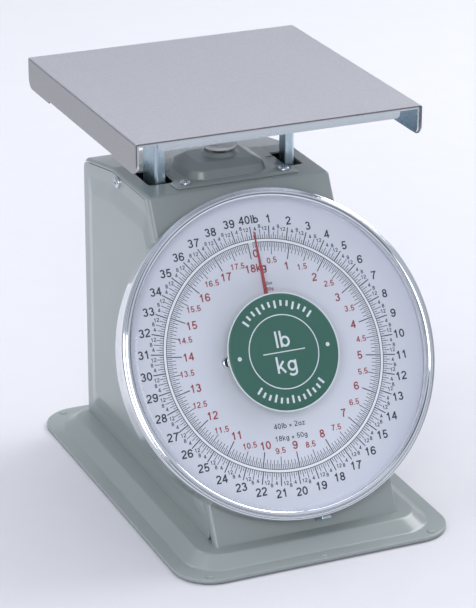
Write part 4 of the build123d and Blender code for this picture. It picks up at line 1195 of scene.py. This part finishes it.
def paper_material():
    """Pale paper with painted light, a little lighter far behind; a painted dark reflection: glossy rays see it
    turn dark far ahead of the object.
    """
    material, tree, shader = new_material("pale_paper")
    geometry = tree.nodes.new("ShaderNodeNewGeometry")
    ahead = tree.nodes.new("ShaderNodeVectorMath")
    ahead.operation = "DOT_PRODUCT"
    turn = math.radians(CAMERA_AZIMUTH)
    ahead.inputs[1].default_value = (math.sin(turn), -math.cos(turn), 0)
    tree.links.new(geometry.outputs["Position"], ahead.inputs[0])
    # painted light: the paper a little lighter far behind, darker towards the front
    depth = spread(tree, ahead.outputs["Value"], 0, 1, (-2.6, 0.2))
    paper = tint(tree, depth, (0.74, 0.74, 0.755), (0.70, 0.70, 0.735))
    path = tree.nodes.new("ShaderNodeLightPath")
    # painted dark reflection: only glossy rays see the paper turn dark far ahead of the object
    far_ahead = spread(tree, ahead.outputs["Value"], 0, 1, (0.35, 0.9))
    mirrored = multiply(tree, far_ahead, path.outputs["Is Glossy Ray"])
    paper = mix_colour(tree, mirrored, paper, (0.22, 0.23, 0.25))
    grain = spread(tree, noise(tree, 40, 3.0), 0, 0.03)
    paper = mix_colour(tree, grain, paper, (0.6, 0.6, 0.6), "MULTIPLY")
    tree.links.new(paper, shader.inputs["Base Color"])
    shader.inputs["Roughness"].default_value = 0.8
    shader.inputs["Specular IOR Level"].default_value = 0.15
    return material


FLOOR_AHEAD, FLOOR_BEHIND, FLOOR_HALF_WIDTH = 4.0, 2.2, 6.0
SWEEP_R, SWEEP_STEPS, WALL_TOP = 1.2, 12, 5.0


def studio():
    """A seamless pale sweep: flat floor that curves up well behind the object."""
    vertices, faces = [], []
    profile = [(y, 0.0) for y in (-FLOOR_AHEAD, -1.5, 0.0, 1.5, FLOOR_BEHIND)]
    for k in range(1, SWEEP_STEPS + 1):
        angle = math.pi / 2 * k / SWEEP_STEPS
        profile.append((FLOOR_BEHIND + SWEEP_R * math.sin(angle), SWEEP_R * (1 - math.cos(angle))))
    profile.append((FLOOR_BEHIND + SWEEP_R, WALL_TOP))
    turn = math.radians(CAMERA_AZIMUTH)
    across = Vector((math.cos(turn), math.sin(turn), 0))
    away = Vector((-math.sin(turn), math.cos(turn), 0))
    for y, z in profile:
        for x in (-FLOOR_HALF_WIDTH, FLOOR_HALF_WIDTH):
            vertices.append(across * x + away * y + Vector((0, 0, z)))
    for i in range(len(profile) - 1):
        faces.append((2 * i, 2 * i + 1, 2 * i + 3, 2 * i + 2))
    mesh = bpy.data.meshes.new("studio_sweep")
    mesh.from_pydata(vertices, [], faces)
    for polygon in mesh.polygons:
        polygon.use_smooth = True
    mesh.materials.append(paper_material())
    sweep = bpy.data.objects.new("studio_sweep", mesh)
    bpy.context.scene.collection.objects.link(sweep)


CAMERA_AZIMUTH = -23.35
CAMERA_ELEVATION = 21.77
CAMERA_DISTANCE = 1.81864
CAMERA_LENS = 157.35
CAMERA_TARGET = Vector((0.00054, 0.0271, 0.14054))
CAMERA_SHIFT = (0.0234, -0.0517)

azimuth, elevation = math.radians(CAMERA_AZIMUTH), math.radians(CAMERA_ELEVATION)
backwards = Vector(
    (math.sin(azimuth) * math.cos(elevation), -math.cos(azimuth) * math.cos(elevation), math.sin(elevation))
)
camera_data = bpy.data.cameras.new("camera")
camera_data.lens = CAMERA_LENS
camera_data.sensor_width = 36
camera_data.shift_x, camera_data.shift_y = CAMERA_SHIFT
camera_data.clip_end = 50
camera = bpy.data.objects.new("camera", camera_data)
bpy.context.scene.collection.objects.link(camera)
camera.location = CAMERA_TARGET + backwards * CAMERA_DISTANCE
camera.rotation_euler = (-backwards).to_track_quat("-Z", "Y").to_euler()
bpy.context.scene.camera = camera


def towards(azimuth_deg, elevation_deg, distance):
    """Place at a bearing from the object; azimuth 0 is in front, positive to the right."""
    bearing, height = math.radians(azimuth_deg), math.radians(elevation_deg)
    flat = distance * math.cos(height)
    return (flat * math.sin(bearing), -flat * math.cos(bearing), distance * math.sin(height) + 0.1)


studio()
area_light("right_key", towards(105, 42, 2.4), (0, 0, 0.1), (1.3, 1.3), 27, (1.0, 0.99, 0.98))
area_light("overhead", towards(172, 66, 2.6), (0, 0, 0.1), (2.2, 1.8), 26, (0.97, 0.98, 1.0))
area_light("front_softbox", towards(-28, 26, 2.5), (0, 0, 0.12), (1.35, 1.35), 21, (1.0, 0.99, 0.98))
left_fill = area_light("left_fill", towards(-95, 28, 2.2), (0, 0, 0.12), (1.3, 1.2), 9, (0.97, 0.98, 1.0))
left_fill.visible_glossy = False


def studio_world():
    """Bright overhead, dim at the horizon and in one gap between the softboxes."""
    world = bpy.data.worlds.new("studio_world")
    world.use_nodes = True
    tree = world.node_tree
    background = tree.nodes["Background"]
    coordinates = tree.nodes.new("ShaderNodeTexCoord")
    split = tree.nodes.new("ShaderNodeSeparateXYZ")
    tree.links.new(coordinates.outputs["Generated"], split.inputs["Vector"])
    height = spread(tree, split.outputs["Z"], 0, 1, (0.05, 0.6))
    sky = tint(tree, height, (0.13, 0.15, 0.18), (0.72, 0.76, 0.85))
    closeness = tree.nodes.new("ShaderNodeVectorMath")
    closeness.operation = "DOT_PRODUCT"
    closeness.inputs[1].default_value = Vector(towards(-36, 55, 1.0)).normalized()
    tree.links.new(coordinates.outputs["Generated"], closeness.inputs[0])
    gap = spread(tree, closeness.outputs["Value"], 0, 1, (0.94, 0.975))
    sky = mix_colour(tree, gap, sky, (0.10, 0.12, 0.16))
    tree.links.new(sky, background.inputs["Color"])
    background.inputs["Strength"].default_value = 0.9
    bpy.context.scene.world = world


studio_world()
bpy.context.scene.view_settings.view_transform = "Standard"
